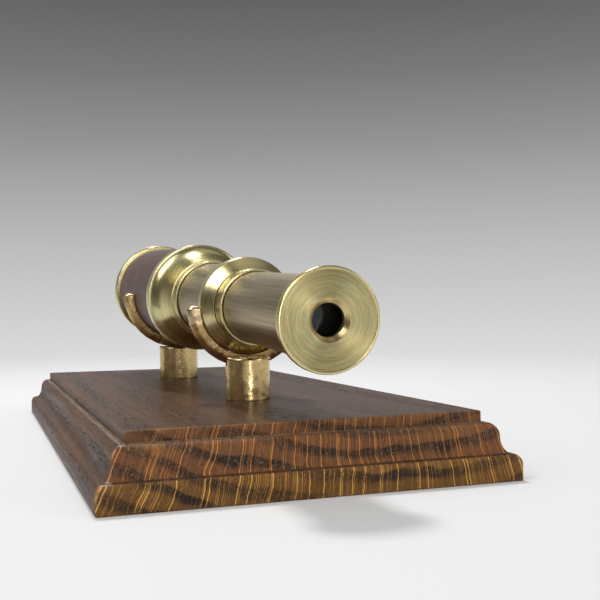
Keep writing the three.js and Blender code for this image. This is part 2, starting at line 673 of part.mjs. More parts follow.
// The slot is where the pin runs as the ring turns: outwards by the jaw's travel over the ring's turn
function pinSlot() {
  const halfWidth = PIN.radius + PIN.clearance;
  const top = ringFloor + 1;
  const outerSide = [];
  const innerSide = [];
  for (let i = 0; i <= SLOT_STEPS; i++) {
    const share = i / SLOT_STEPS;
    const reach = pinRadius + JAW_TRAVEL * share;
    const way = new THREE.Vector2(Math.cos(RING_TURN * share), Math.sin(RING_TURN * share));
    outerSide.push(way.clone().multiplyScalar(reach + halfWidth));
    innerSide.unshift(way.clone().multiplyScalar(reach - halfWidth));
  }
  const run = new THREE.ExtrudeGeometry(new THREE.Shape([...outerSide, ...innerSide]), {
    depth: RING_WEB + 2,
    bevelEnabled: false,
  });
  const ends = [0, 1].map((share) => disc(halfWidth, top - RING_WEB - 2, top, SMALL_STEPS)
    .translate(pinRadius + JAW_TRAVEL * share, 0, 0)
    .rotateY(-RING_TURN * share));
  return [run.rotateX(Math.PI / 2).translate(0, top, 0), ...ends];
}

function adjustingRing() {
  const ring = turned([
    [slitRingBore, slitRingFront],
    [slitRingRadius - EDGE_BREAK, slitRingFront],
    [slitRingRadius, slitRingFront + EDGE_BREAK],
    [slitRingRadius, slitRingBack - EDGE_BREAK],
    [slitRingRadius - EDGE_BREAK, slitRingBack],
    [slitRingRadius - RING_RIM, slitRingBack],
    [slitRingRadius - RING_RIM, ringFloor],
    [slitRingBore, ringFloor],
  ]);
  return piece("slit_adjusting_ring", cut(ring, ...pinSlot()), "polished_brass");
}

function bezel() {
  const windowSeat = SLIT_WINDOW.radius + FIT_GAP;
  const lip = bezelBack - BEZEL_LIP;
  const outer = slitRingRadius - RING_RIM - SEAT_GAP;
  const cover = turned([
    [windowSeat, bezelFront],
    [outer, bezelFront],
    [outer, bezelBack - EDGE_BREAK],
    [outer - EDGE_BREAK, bezelBack],
    [BEZEL_APERTURE, bezelBack],
    [BEZEL_APERTURE, lip],
    [windowSeat, lip],
  ]);
  const holes = [-1, 1].map((side) => screwHole(0, side * bezelScrewHeight, bezelFront - 1, bezelBack + 1));
  return piece("slit_bezel", cut(cover, ...holes), "polished_brass");
}

function slitHead() {
  const lip = bezelBack - BEZEL_LIP;
  const windowBack = lip - FIT_GAP;
  return [
    slitPlate(),
    fixedJaw(),
    movingJaw(),
    adjustingRing(),
    bezel(),
    piece("slit_window",
      disc(SLIT_WINDOW.radius, windowBack - SLIT_WINDOW.thickness, windowBack, SMALL_STEPS), "crown_glass"),
    smallScrew("jaw_screw_lower", jawScrewX, -jawScrewZ, jawBack + FIT_GAP),
    smallScrew("jaw_screw_upper", jawScrewX, jawScrewZ, jawBack + FIT_GAP),
    smallScrew("bezel_screw_lower", 0, -bezelScrewHeight, bezelBack + FIT_GAP),
    smallScrew("bezel_screw_upper", 0, bezelScrewHeight, bezelBack + FIT_GAP),
  ];
}

function barrelPieces() {
  const from = barrelRimBack + SEAT_GAP;
  const to = endRimFront - SEAT_GAP;
  return [
    barrelCollar(),
    piece("barrel_tube", tube(barrelInner, barrelOuter, from, to), "polished_brass"),
    piece("barrel_cover", tube(coverInner, coverOuter, from, to), "leather"),
    endRing(),
  ];
}

const stand = new THREE.Group();
stand.add(
  plinth(),
  post("front_post", -1, FRONT_POST_RADIUS, frontCradleOuter, 0),
  post("rear_post", 1, REAR_POST_RADIUS, rearCradleOuter, rearCradleAt),
  postScrew("front_post_screw", -1),
  postScrew("rear_post_screw", 1),
);
for (const [name, end] of [["front_post_washer", -1], ["rear_post_washer", 1]]) {
  const washer = screwWasher(name, end);
  washer.position.y = (end * POST_SPACING) / 2;
  stand.add(washer);
}

const instrument = new THREE.Group();
instrument.applyMatrix4(instrumentPlace);
instrument.add(
  cradle("front_cradle", frontCradleInner, 0),
  cradle("rear_cradle", rearCradleInner, rearCradleAt),
  ...eyePieces(),
  prismCell(),
  ...prismTrain(),
  prismPacking("prism_packing_lower", 1),
  prismPacking("prism_packing_upper", -1),
  ...collimator(),
  ...middlePieces(),
  ...barrelPieces(),
  ...slitHead(),
);

const group = new THREE.Group();
group.add(stand, instrument);

export default group;
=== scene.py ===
"""A direct-vision spectroscope of two draws, lying in two half-ring cradles on a moulded oak plinth.

Metres, +Z up. The instrument's own frame has +Y along its axis to the rear, +X to the right of someone
looking into the eyepiece, and its origin at the middle of the front cradle.
"""

import json
import math
import random
from collections import namedtuple

import bmesh
import bpy
from bpy.props import FloatProperty, FloatVectorProperty, IntProperty, PointerProperty
from mathutils import Matrix, Vector, noise


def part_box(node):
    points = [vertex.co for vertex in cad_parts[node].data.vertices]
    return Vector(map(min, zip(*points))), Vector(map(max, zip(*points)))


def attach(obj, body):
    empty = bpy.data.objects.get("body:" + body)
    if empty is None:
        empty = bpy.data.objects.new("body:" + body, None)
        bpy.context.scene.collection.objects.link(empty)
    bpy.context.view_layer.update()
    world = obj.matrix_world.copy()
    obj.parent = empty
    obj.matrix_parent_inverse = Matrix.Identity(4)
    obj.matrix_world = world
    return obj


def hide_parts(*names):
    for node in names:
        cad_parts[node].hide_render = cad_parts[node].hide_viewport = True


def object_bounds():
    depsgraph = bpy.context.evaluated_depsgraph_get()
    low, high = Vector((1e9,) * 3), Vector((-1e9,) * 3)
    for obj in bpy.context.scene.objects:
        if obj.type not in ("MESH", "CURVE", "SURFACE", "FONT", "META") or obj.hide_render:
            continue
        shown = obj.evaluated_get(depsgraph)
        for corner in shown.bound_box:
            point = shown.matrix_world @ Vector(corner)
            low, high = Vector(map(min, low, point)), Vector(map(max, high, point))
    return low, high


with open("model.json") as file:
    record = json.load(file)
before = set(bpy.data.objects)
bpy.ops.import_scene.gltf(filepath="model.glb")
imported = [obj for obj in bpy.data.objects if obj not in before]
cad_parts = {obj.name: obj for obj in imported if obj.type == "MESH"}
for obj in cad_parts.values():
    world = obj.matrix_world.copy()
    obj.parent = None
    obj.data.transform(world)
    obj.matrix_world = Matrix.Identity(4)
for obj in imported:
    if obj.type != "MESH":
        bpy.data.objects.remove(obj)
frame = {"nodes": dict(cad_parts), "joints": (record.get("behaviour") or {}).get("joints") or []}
cad_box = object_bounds()

bl_info = {
    "name": "Spectroscope on an oak plinth",
    "version": (1, 0, 0),
    "blender": (4, 5, 0),
    "location": "3D View > Sidebar > Spectroscope",
    "description": "Builds a brass direct-vision spectroscope in its cradles, around its packed solids",
    "category": "Object",
}

MM = 0.001
PER_MM = 1 / MM
FULL_TURN = 2 * math.pi
QUARTER_TURN = 0.25  # of a turn
SEAT_GAP = 0.3 * MM  # between pieces that seat on each other
FIT_GAP = 0.1 * MM  # radial, between a pushed-in piece and its seat

SLOT_HALF_WIDTH = 0.85 * MM  # of the adjusting ring's slot for the jaw's pin
BEZEL_HOLE = 0.8 * MM  # radius of the bezel's screw holes
POST_BORE = 2.1 * MM  # radius of the screw hole up a post
PLINTH_BORE = 2.3 * MM  # radius of the screw hole through the plinth

Screw = namedtuple("Screw", "shank_radius head_height slot_width slot_depth")
SMALL_SCREW = Screw(0.7 * MM, 0.8 * MM, 0.3 * MM, 0.3 * MM)
POST_SCREW = Screw(2 * MM, 2.6 * MM, 1 * MM, 0.6 * MM)


# ---------------------------------------------------------------- the instrument's own frame

# Stations along the axis and radii about it
Span = namedtuple("Span", "front back inner outer")


def joint(name):
    """The frame's joint of that name."""
    return next(row for row in frame["joints"] if row["name"] == name)


def axis_place(origin):
    """Matrix of the instrument's own frame with its origin at a point of the axis."""
    along = Vector(joint("slit_ring_turn")["axis"]).normalized()
    across = Vector((1, 0, 0))
    up = across.cross(along)
    return Matrix.Translation(origin) @ Matrix((across, along, up)).transposed().to_4x4()


def local_points(node, place):
    """A CAD node's vertices in that frame."""
    inverse = place.inverted()
    return [inverse @ vertex.co for vertex in frame["nodes"][node].data.vertices]


def measured(node, place):
    """Stations and radii that a turned CAD node spans in that frame."""
    points = local_points(node, place)
    stations = [point.y for point in points]
    radii = [math.hypot(point.x, point.z) for point in points]
    return Span(min(stations), max(stations), min(radii), max(radii))


def cradle_middle():
    """The point of the axis at the middle of the front cradle."""
    at_hinge = axis_place(Vector(joint("slit_ring_turn")["pos_m"]))
    cradle = measured("front_cradle", at_hinge)
    return at_hinge @ Vector((0, (cradle.front + cradle.back) / 2, 0))


INSTRUMENT = axis_place(cradle_middle())


def span(node):
    """What a turned CAD node spans in the instrument's frame."""
    return measured(node, INSTRUMENT)


# ---------------------------------------------------------------- sizes and colours


def length(name, description, default):
    """A size in metres that is shown as a length."""
    return FloatProperty(
        name=name, description=description, default=default, min=0, precision=5, unit="LENGTH"
    )


def colour(name, description, default):
    return FloatVectorProperty(
        name=name, description=description, default=default, size=3, min=0, max=1, subtype="COLOR"
    )


class SPECTROSCOPE_PG_sizes(bpy.types.PropertyGroup):
    """Sizes that the solids don't give"""

    turning_steps: IntProperty(name="Turning steps", description="Faces round a turned piece", default=192)
    edge_ease: length("Edge ease", "Rounding of a turned edge", 0.22 * MM)
    cap_rim_width: length("Cap rim width", "Raised rim round the face of the eye cap", 0.5 * MM)
    cap_round: length("Cap rounding", "Bright rounded edge of the eye cap", 0.5 * MM)
    cap_dish: length("Cap dish", "Depth of the cap's face below its rim", 0.14 * MM)
    countersink: length("Countersink", "Depth and width of the eye hole's countersink", 0.95 * MM)
    cap_wall: length("Cap front thickness", "From the cap's face to its recess", 2 * MM)
    middle_rim: length("Middle rim thickness", "Rim of the middle collar along the axis", 2.4 * MM)
    middle_shoulder: length("Middle shoulder length", "Cone between the neck and the rim", 2.4 * MM)
    groove_width: length("Neck groove width", "Groove at the foot of the shoulder", 1.2 * MM)
    groove_depth: length("Neck groove depth", "Depth of that groove", 0.42 * MM)
    barrel_rim: length("Barrel rim thickness", "Rim of the barrel collar along the axis", 3.8 * MM)
    barrel_neck: length("Barrel neck length", "Plain neck in front of the flare", 3.6 * MM)
    barrel_neck_wall: length("Barrel neck wall", "Wall of that neck", 0.6 * MM)
    flare_root: length("Flare root", "Step from the neck to the foot of the flare", 0.35 * MM)
    seam_depth: length("Leather seam depth", "Groove where the edges of the leather meet", 0.12 * MM)
    knurl_depth: length("Knurl depth", "Depth of the cuts round the adjusting ring", 0.22 * MM)
    knurl_count: IntProperty(name="Knurl count", description="Cuts round the adjusting ring", default=112)
    bar_width: length("Cradle bar width", "Half-round bar along the axis", 2.8 * MM)
    bar_flank: length("Cradle bar flank", "Upright side of the half-round bar", 0.9 * MM)
    tip_length: length("Cradle tip length", "Pale hammered end of a front cradle arm", 5 * MM)
    dent_depth: length("Dent depth", "Depth of the hammer dents in the posts", 0.05 * MM)
    band_height: length("Band height", "Upright band at the foot of the plinth", 3.3 * MM)
    shoulder_inset: length("Shoulder inset", "Rounded edge over the band, across", 1.5 * MM)
    shoulder_rise: length("Shoulder rise", "Rounded edge over the band, upwards", 2.1 * MM)
    cove_inset: length("Cove inset", "Hollow of the moulding, across", 1.8 * MM)
    cove_rise: length("Cove rise", "Hollow of the moulding, upwards", 3.5 * MM)
    ovolo_inset: length("Ovolo inset", "Round of the moulding, across", 2.2 * MM)
    ovolo_rise: length("Ovolo rise", "Round of the moulding, upwards", 2.75 * MM)
    step_inset: length("Step inset", "Flat between the round and the top fillet", 0.6 * MM)
    corner_ease: length("Corner ease", "Rounding of the plinth's upright corners", 0.45 * MM)


class SPECTROSCOPE_PG_finishes(bpy.types.PropertyGroup):
    """Colours of the finishes"""

    brass: colour("Polished brass", "Turned brass", (0.70, 0.585, 0.29))
    brass_green: colour("Olive brass", "Brass with a thin olive tarnish", (0.58, 0.56, 0.31))
    brass_dull: colour("Dull brass", "Brass where it has tarnished", (0.30, 0.23, 0.09))
    # glass_painted_shade darkens the prisms' glass: painted shade for the dark view into the tube.
    glass_painted_shade: colour("Shaded glass", "Prism glass between blackened walls", (0.11, 0.065, 0.05))
    brass_edge: colour("Rubbed brass edge", "Edges of turned brass, rubbed warm", (0.86, 0.64, 0.33))
    copper: colour("Coppery brass", "Countersink of the eye hole", (0.74, 0.36, 0.17))
    bronzed: colour("Bronzed brass", "Drawn tubes", (0.40, 0.315, 0.175))
    bronzed_worn: colour("Worn bronzing", "Drawn tubes where the bronzing has gone", (0.49, 0.39, 0.225))
    cast: colour("Post brass", "Hammered posts", (0.72, 0.55, 0.27))
    cast_dull: colour("Dull post brass", "Hammered posts where they have tarnished", (0.50, 0.34, 0.13))
    bar: colour("Cradle bar", "Brass with a coppery heat tint", (0.36, 0.215, 0.10))
    bar_golden: colour("Golden cradle bar", "Cradle bar where it has been rubbed", (0.60, 0.43, 0.18))
    braze: colour("Brazing", "Brazing metal and the cradle's pale tips", (0.74, 0.60, 0.42))
    leather: colour("Leather", "Covering of the barrel", (0.074, 0.033, 0.027))
    leather_worn: colour("Worn leather", "Leather where it has been handled", (0.13, 0.066, 0.056))
    steel: colour("Steel", "Screws, washers and jaws", (0.52, 0.53, 0.54))
    black: colour("Optical black", "Inside of the tubes and cells", (0.012, 0.011, 0.010))
    crown: colour("Crown glass", "Windows, lenses and crown prisms", (0.93, 0.97, 0.97))
    flint: colour("Flint glass", "Lens and flint prisms", (0.97, 0.95, 0.86))
    cork: colour("Cork", "Packing of the prisms", (0.42, 0.24, 0.11))
    oak: colour("Oak end grain", "Stained end grain of the moulding", (0.190, 0.082, 0.034))
    oak_long: colour("Oak long grain", "Stained long grain of the top and sides", (0.138, 0.058, 0.025))
    oak_dark: colour("Dark oak", "Pores and the dark side of each growth ring", (0.026, 0.018, 0.014))
    # Painted light: the band at the foot and the rays across it are painted more golden, for the light that
    # they catch.
    oak_band_painted_light: colour("Golden oak", "Band at the foot, where the stain is thin", (0.190, 0.088, 0.022))
    oak_ray: colour("Oak ray", "Rays across the end grain of the moulding", (0.60, 0.24, 0.06))
    oak_ray_painted_light: colour("Golden oak ray", "Rays across the band at the foot", (0.74, 0.38, 0.09))
    # oak_dust_and_highlight is real dust in the pores, and also the painted highlight on the ledge.
    oak_dust_and_highlight: colour("Pore dust", "Pale dust in the pores of the end grain", (0.36, 0.27, 0.17))
    oak_worn: colour("Worn oak", "Rubbed edges of the plinth", (0.42, 0.22, 0.10))
    floor: colour("Floor", "Plain floor", (0.65, 0.65, 0.65))
    card: colour("Dark card", "Card that the metal reflects", (0.12, 0.11, 0.10))


class SPECTROSCOPE_PG_view(bpy.types.PropertyGroup):
    """Where the camera stands"""

    place: FloatVectorProperty(
        name="Place",
        description="Where the camera stands, in the part's frame",
        default=(-0.06226, -0.25324, 0.03556),
        subtype="TRANSLATION",
        unit="LENGTH",
        precision=5,
    )
    heading: FloatProperty(
        name="Heading", description="Turn to the right of +Y", default=math.radians(19.58), subtype="ANGLE"
    )
    pitch: FloatProperty(
        name="Pitch", description="Tilt upwards", default=math.radians(0.567), subtype="ANGLE"
    )
    roll: FloatProperty(
        name="Roll", description="Turn about the view line", default=math.radians(-0.768), subtype="ANGLE"
    )
    lens: FloatProperty(name="Lens", description="Length on a 36 mm sensor", default=55.0, unit="CAMERA")


def sizes():
    return bpy.context.scene.spectroscope_sizes


def finishes():
    return bpy.context.scene.spectroscope_finishes


def moulding_heights():
    """Tops of the rounded edge, the hollow and the round of the plinth's moulding."""
    own = sizes()
    shoulder_top = own.band_height + own.shoulder_rise
    cove_top = shoulder_top + own.cove_rise
    return shoulder_top, cove_top, cove_top + own.ovolo_rise


# ---------------------------------------------------------------- outlines and meshes


def lerp(start, end, share):
    """The point that far from start to end."""
    return [a + (b - a) * share for a, b in zip(start, end)]


def eased(corners, closed=True, longest=None, steps=4):
    """Outline through corners of (radius, station, ease), each rounded by its ease; longest splits runs."""
    outline = []
    count = len(corners)
    for index, corner in enumerate(corners):
        point = list(corner[:2])
        ease = corner[2] if len(corner) > 2 else 0
        at_end = not closed and index in (0, count - 1)
        if at_end or ease == 0:
            outline.append(point)
            continue
        before = list(corners[index - 1][:2])
        after = list(corners[(index + 1) % count][:2])
        start = lerp(point, before, min(0.45, ease / math.dist(point, before)))
        end = lerp(point, after, min(0.45, ease / math.dist(point, after)))
        for step in range(steps + 1):
            share = step / steps
            outline.append(lerp(lerp(start, point, share), lerp(point, end, share), share))
    return split_runs(outline, closed, longest) if longest else outline


def split_runs(outline, closed, longest):
    """The outline with no run longer than that."""
    result = []
    last = len(outline) if closed else len(outline) - 1
    for index in range(last):
        start = outline[index]
        end = outline[(index + 1) % len(outline)]
        pieces = max(1, math.ceil(math.dist(start, end) / longest))
        result += [lerp(start, end, part / pieces) for part in range(pieces)]
    if not closed:
        result.append(outline[-1])
    return result


def quarter(centre, half_size, start, end, steps=12):
    """Points on a quarter of an ellipse, without the first."""
    points = []
    for step in range(1, steps + 1):
        angle = start + (end - start) * step / steps
        across = centre[0] + half_size[0] * math.cos(angle)
        points.append((across, centre[1] + half_size[1] * math.sin(angle)))
    return points


def arc_points(centre, radius, start, end, steps=10):
    """Points on an arc of a circle, with both its ends."""
    points = []
    for step in range(steps + 1):
        angle = start + (end - start) * step / steps
        points.append(centre + radius * Vector((math.cos(angle), math.sin(angle))))
    return points


def mesh_from(name, bm):
    """A smooth-shaded mesh with its faces turned outwards."""
    bmesh.ops.recalc_face_normals(bm, faces=bm.faces)
    for face in bm.faces:
        face.smooth = True
    mesh = bpy.data.meshes.new(name)
    bm.to_mesh(mesh)
    bm.free()
    return mesh


def bridge(bm, first, second):
    """Faces between two rings of vertices, where a ring of one vertex is a point on the axis."""
    count = max(len(first), len(second))
    for index in range(count):
        after = (index + 1) % count
        if len(first) == 1:
            bm.faces.new((first[0], second[index], second[after]))
        elif len(second) == 1:
            bm.faces.new((first[index], second[0], first[after]))
        else:
            bm.faces.new((first[index], second[index], second[after], first[after]))


def turned(name, outline, steps=None, relief=None):
    """The outline of (radius, station) points turned about Y. relief gives how far a point stands in."""
    steps = steps or sizes().turning_steps
    bm = bmesh.new()
    rings = []
    for radius, station in outline:
        if radius == 0:
            rings.append([bm.verts.new((0, station, 0))])
            continue
        ring = []
        for step in range(steps):
            angle = FULL_TURN * step / steps
            out = radius - (relief(angle, radius, station) if relief else 0)
            ring.append(bm.verts.new((out * math.cos(angle), station, out * math.sin(angle))))
        rings.append(ring)
    for first, second in zip(rings, rings[1:]):
        bridge(bm, first, second)
    if outline[0][0] > 0:
        bridge(bm, rings[-1], rings[0])
    return mesh_from(name, bm)


def tube_outline(tube, ease, longest=None):
    """Outline of a plain tube that spans that much."""
    front, back, inner, outer = tube
    corners = [(inner, front, ease), (outer, front, ease), (outer, back, ease), (inner, back, ease)]
    return eased(corners, longest=longest)


def disc_outline(radius, front, back, ease):
    """Outline of a plain disc."""
    return eased([(0, front), (radius, front, ease), (radius, back, ease), (0, back)], closed=False)


def shown(mesh, name, body, nodes=(), materials=(), place=None):
    """The mesh as a piece that rides on a body and stands for those CAD nodes."""
    piece = bpy.data.objects.new(name, mesh)
    bpy.context.scene.collection.objects.link(piece)
    piece.matrix_world = INSTRUMENT if place is None else place
    for material in materials:
        mesh.materials.append(material)
    even = piece.modifiers.new("Even shading", "WEIGHTED_NORMAL")
    even.keep_sharp = True
    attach(piece, body)
    if nodes:
        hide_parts(*nodes)
    return piece


def scratch_object(mesh, place=None):
    """An object that is only cut with, at the place given or in the instrument's frame."""
    helper = bpy.data.objects.new("helper", mesh)
    bpy.context.scene.collection.objects.link(helper)
    helper.matrix_world = INSTRUMENT if place is None else place
    return helper


def applied(holder, name):
    """A mesh of the object with its modifiers applied. The object is removed."""
    bpy.context.view_layer.update()
    graph = bpy.context.evaluated_depsgraph_get()
    mesh = bpy.data.meshes.new_from_object(holder.evaluated_get(graph))
    mesh.name = name
    bpy.data.objects.remove(holder)
    return mesh


def cut_away(mesh, cutters, place=None, cutter_place=None):
    """The mesh less each of the cutter meshes, which stand in a frame of their own."""
    holder = scratch_object(mesh, place)
    helpers = [scratch_object(cutter, cutter_place) for cutter in cutters]
    for helper in helpers:
        boolean = holder.modifiers.new("Cut", "BOOLEAN")
        boolean.operation = "DIFFERENCE"
        boolean.solver = "EXACT"
        boolean.object = helper
    result = applied(holder, mesh.name)
    for helper in helpers:
        bpy.data.objects.remove(helper)
    result.shade_smooth()
    return result


def blacken_bore(mesh, limit):
    """Gives the second material to the faces of the bore, which look at the axis within that radius."""
    for face in mesh.polygons:
        radial = Vector((face.center.x, 0, face.center.z))
        if radial.length < limit and face.normal.dot(radial) < 0:
            face.material_index = 1


def dents(point, size):
    """Depth of hammer dents at a point, from 0 to 1, for dents of that size."""
    distances, _ = noise.voronoi(point / size)
    return max(0.0, 1 - (distances[0] / 0.75) ** 2)


# ---------------------------------------------------------------- nodes


def add(tree, kind, inputs=None, **settings):
    """A node with its settings made and its inputs linked or filled."""
    node = tree.nodes.new("ShaderNode" + kind)
    for setting, value in settings.items():
        setattr(node, setting, value)
    for socket, value in (inputs or {}).items():
        if isinstance(value, bpy.types.NodeSocket):
            tree.links.new(value, node.inputs[socket])
        else:
            node.inputs[socket].default_value = value
    return node


def calc(tree, operation, first, second=0.0):
    """One step of arithmetic on one or two values."""
    return add(tree, "Math", {0: first, 1: second}, operation=operation).outputs[0]


def times(tree, first, second):
    return calc(tree, "MULTIPLY", first, second)


def size_of(tree, vector):
    """How long a vector is."""
    return add(tree, "VectorMath", {0: vector}, operation="LENGTH").outputs["Value"]


def stretch(tree, vector, scale):
    """The vector times a scale for each axis."""
    return add(tree, "VectorMath", {0: vector, 1: scale}, operation="MULTIPLY").outputs[0]


def remap(tree, value, low, high, to_low=0.0, to_high=1.0):
    """The value moved from one range to another, and held within it."""
    inputs = {0: value, 1: low, 2: high, 3: to_low, 4: to_high}
    return add(tree, "MapRange", inputs, clamp=True).outputs[0]


def mix(tree, factor, first, second):
    """A colour between two colours."""
    return add(tree, "Mix", {0: factor, 6: opaque(first), 7: opaque(second)}, data_type="RGBA").outputs[2]


def shade(tone, share):
    """A colour times a share."""
    return [part * share for part in tone]


def opaque(value):
    return value if isinstance(value, bpy.types.NodeSocket) else (*value[:3], 1.0)


def ripple(tree, vector, scale=1.0, detail=2.0, rough=0.5, turn=0.0):
    """Noise, as a value about 0.5."""
    inputs = {"Vector": vector, "Scale": scale, "Detail": detail, "Roughness": rough, "Distortion": turn}
    return add(tree, "TexNoise", inputs).outputs[0]


def joined(tree, x, y, z):
    return add(tree, "CombineXYZ", {0: x, 1: y, 2: z}).outputs[0]


def new_group(name, inputs, outputs):
    """An empty shader group with its sockets, and the two sides to link to."""
    group = bpy.data.node_groups.new(name, "ShaderNodeTree")
    for label, kind, default in inputs:
        socket = group.interface.new_socket(label, in_out="INPUT", socket_type="NodeSocket" + kind)
        if default is not None:
            socket.default_value = default
    for label in outputs:
        group.interface.new_socket(label, in_out="OUTPUT", socket_type="NodeSocketFloat")
    return group, group.nodes.new("NodeGroupInput").outputs, group.nodes.new("NodeGroupOutput").inputs


def turning_marks():
    """Fine marks that run round the axis, as a lathe tool leaves them."""
    group, given, result = new_group(
        "Turning marks",
        [("Vector", "Vector", None), ("Density", "Float", 4.0), ("Reach", "Float", 2.0)],
        ["Height", "Patches"],
    )
    part = add(group, "SeparateXYZ", {0: given["Vector"]}).outputs
    flat = joined(group, part[0], 0.0, part[2])
    radius = size_of(group, flat)
    way = add(group, "VectorMath", {0: flat}, operation="NORMALIZE").outputs[0]
    round_part = add(group, "SeparateXYZ", {0: way}).outputs
    density = times(group, given["Density"], PER_MM)
    place = joined(
        group,
        times(group, radius, density),
        times(group, part[1], density),
        times(group, round_part[0], given["Reach"]),
    )
    turn = times(group, round_part[2], given["Reach"])
    for scale, label in ((1.0, "Height"), (0.16, "Patches")):
        inputs = {"Vector": place, "W": turn, "Scale": scale, "Detail": 3.0, "Roughness": 0.6}
        marks = add(group, "TexNoise", inputs, noise_dimensions="4D").outputs[0]
        group.links.new(marks, result[label])
    return group


def drawing_marks():
    """Fine marks that run along the axis, as a drawn and rubbed tube has."""
    group, given, result = new_group(
        "Drawing marks",
        [("Vector", "Vector", None), ("Across", "Float", 5.0), ("Along", "Float", 0.06)],
        ["Height", "Scratches"],
    )
    across = times(group, given["Across"], PER_MM)
    along = times(group, given["Along"], PER_MM)
    place = stretch(group, given["Vector"], joined(group, across, along, across))
    group.links.new(ripple(group, place, 1.0, 3.0, 0.65), result["Height"])
    coarse = ripple(group, place, 0.35, 1.0, 0.5)
    group.links.new(remap(group, coarse, 0.62, 0.70), result["Scratches"])
    return group


def edge_wear():
    """Edges rubbed bright, broken up along their length."""
    group, given, result = new_group(
        "Edge wear", [("Vector", "Vector", None), ("Breaks", "Float", 0.25)], ["Mask"]
    )
    edge = add(group, "NewGeometry").outputs["Pointiness"]
    worn = remap(group, edge, 0.505, 0.56)
    scale = times(group, given["Breaks"], PER_MM)
    broken = remap(group, ripple(group, given["Vector"], scale, 3.0, 0.6), 0.35, 0.6)
    group.links.new(times(group, worn, broken), result["Mask"])
    return group


def tarnish():
    """Soft patches and small specks of tarnish."""
    group, given, result = new_group(
        "Tarnish", [("Vector", "Vector", None), ("Patch size", "Float", 0.12)], ["Patches", "Specks"]
    )
    scale = times(group, given["Patch size"], PER_MM)
    patches = ripple(group, given["Vector"], scale, 5.0, 0.62, 0.4)
    group.links.new(remap(group, patches, 0.38, 0.66), result["Patches"])
    fine = times(group, scale, 11.0)
    specks = ripple(group, given["Vector"], fine, 2.0, 0.5)
    group.links.new(remap(group, specks, 0.68, 0.76), result["Specks"])
    return group


GROUP_MAKERS = {
    "Turning marks": turning_marks,
    "Drawing marks": drawing_marks,
    "Edge wear": edge_wear,
    "Tarnish": tarnish,
}


def effect(tree, name, inputs):
    """That shared effect, with its own values here."""
    group = bpy.data.node_groups.get(name) or GROUP_MAKERS[name]()
    return add(tree, "Group", inputs, node_tree=group).outputs


def new_material(name, in_row_frame=False):
    """A material, its tree, its shader and its coordinates in the frame that its marks follow."""
    material = bpy.data.materials.new(name)
    material.use_nodes = True
    tree = material.node_tree
    shader = tree.nodes["Principled BSDF"]
    vector = add(tree, "TexCoord").outputs["Object"]
    if in_row_frame:
        place = {"Location": INSTRUMENT.translation, "Rotation": INSTRUMENT.to_euler(), "Vector": vector}
        vector = add(tree, "Mapping", place, vector_type="TEXTURE").outputs[0]
    return material, tree, shader, vector


def bumped(tree, shader, *layers):
    """Bumps of (height, depth in metres), each over the one before."""
    normal = None
    for height, depth in layers:
        inputs = {"Height": height, "Strength": 1.0, "Distance": depth}
        if normal:
            inputs["Normal"] = normal
        normal = add(tree, "Bump", inputs).outputs[0]
    tree.links.new(normal, shader.inputs["Normal"])


def link(tree, value, shader, socket):
    tree.links.new(value, shader.inputs[socket])


def settle(shader, values):
    """Sets constants on the shader's own sockets."""
    for socket, value in values.items():
        shader.inputs[socket].default_value = value


def once(maker):
    """Makes a material the first time that it is asked for with those values."""
    made = {}

    def get(*args, **named):
        key = (args, tuple(sorted(named.items())))
        if key not in made:
            made[key] = maker(*args, **named)
        return made[key]

    return get


@once
def polished_brass(
    density=5.0, rough=0.24, anisotropy=0.5, contrast=0.16, coppery_to=0.0, in_row_frame=False, wear=0.7
):
    """Turned brass, with tool marks round it, soft tarnish and bright edges, coppery out to a radius."""
    own = finishes()
    material, tree, shader, vector = new_material("polished_brass", in_row_frame)
    marks = effect(tree, "Turning marks", {"Vector": vector, "Density": density, "Reach": 2.2})
    dull = effect(tree, "Tarnish", {"Vector": vector, "Patch size": 0.11})
    worn = effect(tree, "Edge wear", {"Vector": vector, "Breaks": 0.4})["Mask"]
    tone = mix(tree, dull["Patches"], own.brass, own.brass_green)
    if coppery_to:
        away = size_of(tree, stretch(tree, vector, (1.0, 0.0, 1.0)))
        tone = mix(tree, remap(tree, away, coppery_to, coppery_to + FIT_GAP, 0.25, 0.0), tone, own.copper)
    streak = remap(tree, marks["Height"], 0.4, 0.6, contrast, 0.0)
    tone = mix(tree, streak, tone, own.brass_dull)
    tone = mix(tree, remap(tree, marks["Patches"], 0.5, 0.7, 0.0, contrast), tone, own.brass_dull)
    tone = mix(tree, times(tree, dull["Specks"], 0.4), tone, own.brass_dull)
    tone = mix(tree, times(tree, worn, wear), tone, own.brass_edge)
    link(tree, tone, shader, "Base Color")
    shine = remap(tree, marks["Height"], 0.35, 0.65, rough + 0.06, rough - 0.05)
    link(tree, calc(tree, "ADD", shine, times(tree, dull["Patches"], 0.05)), shader, "Roughness")
    settle(shader, {"Metallic": 1.0, "Anisotropic": anisotropy, "Anisotropic Rotation": QUARTER_TURN})
    tangent = add(tree, "Tangent", direction_type="RADIAL", axis="Y").outputs[0]
    link(tree, tangent, shader, "Tangent")
    bumped(tree, shader, (marks["Patches"], 0.02 * MM), (marks["Height"], 0.012 * MM))
    return material


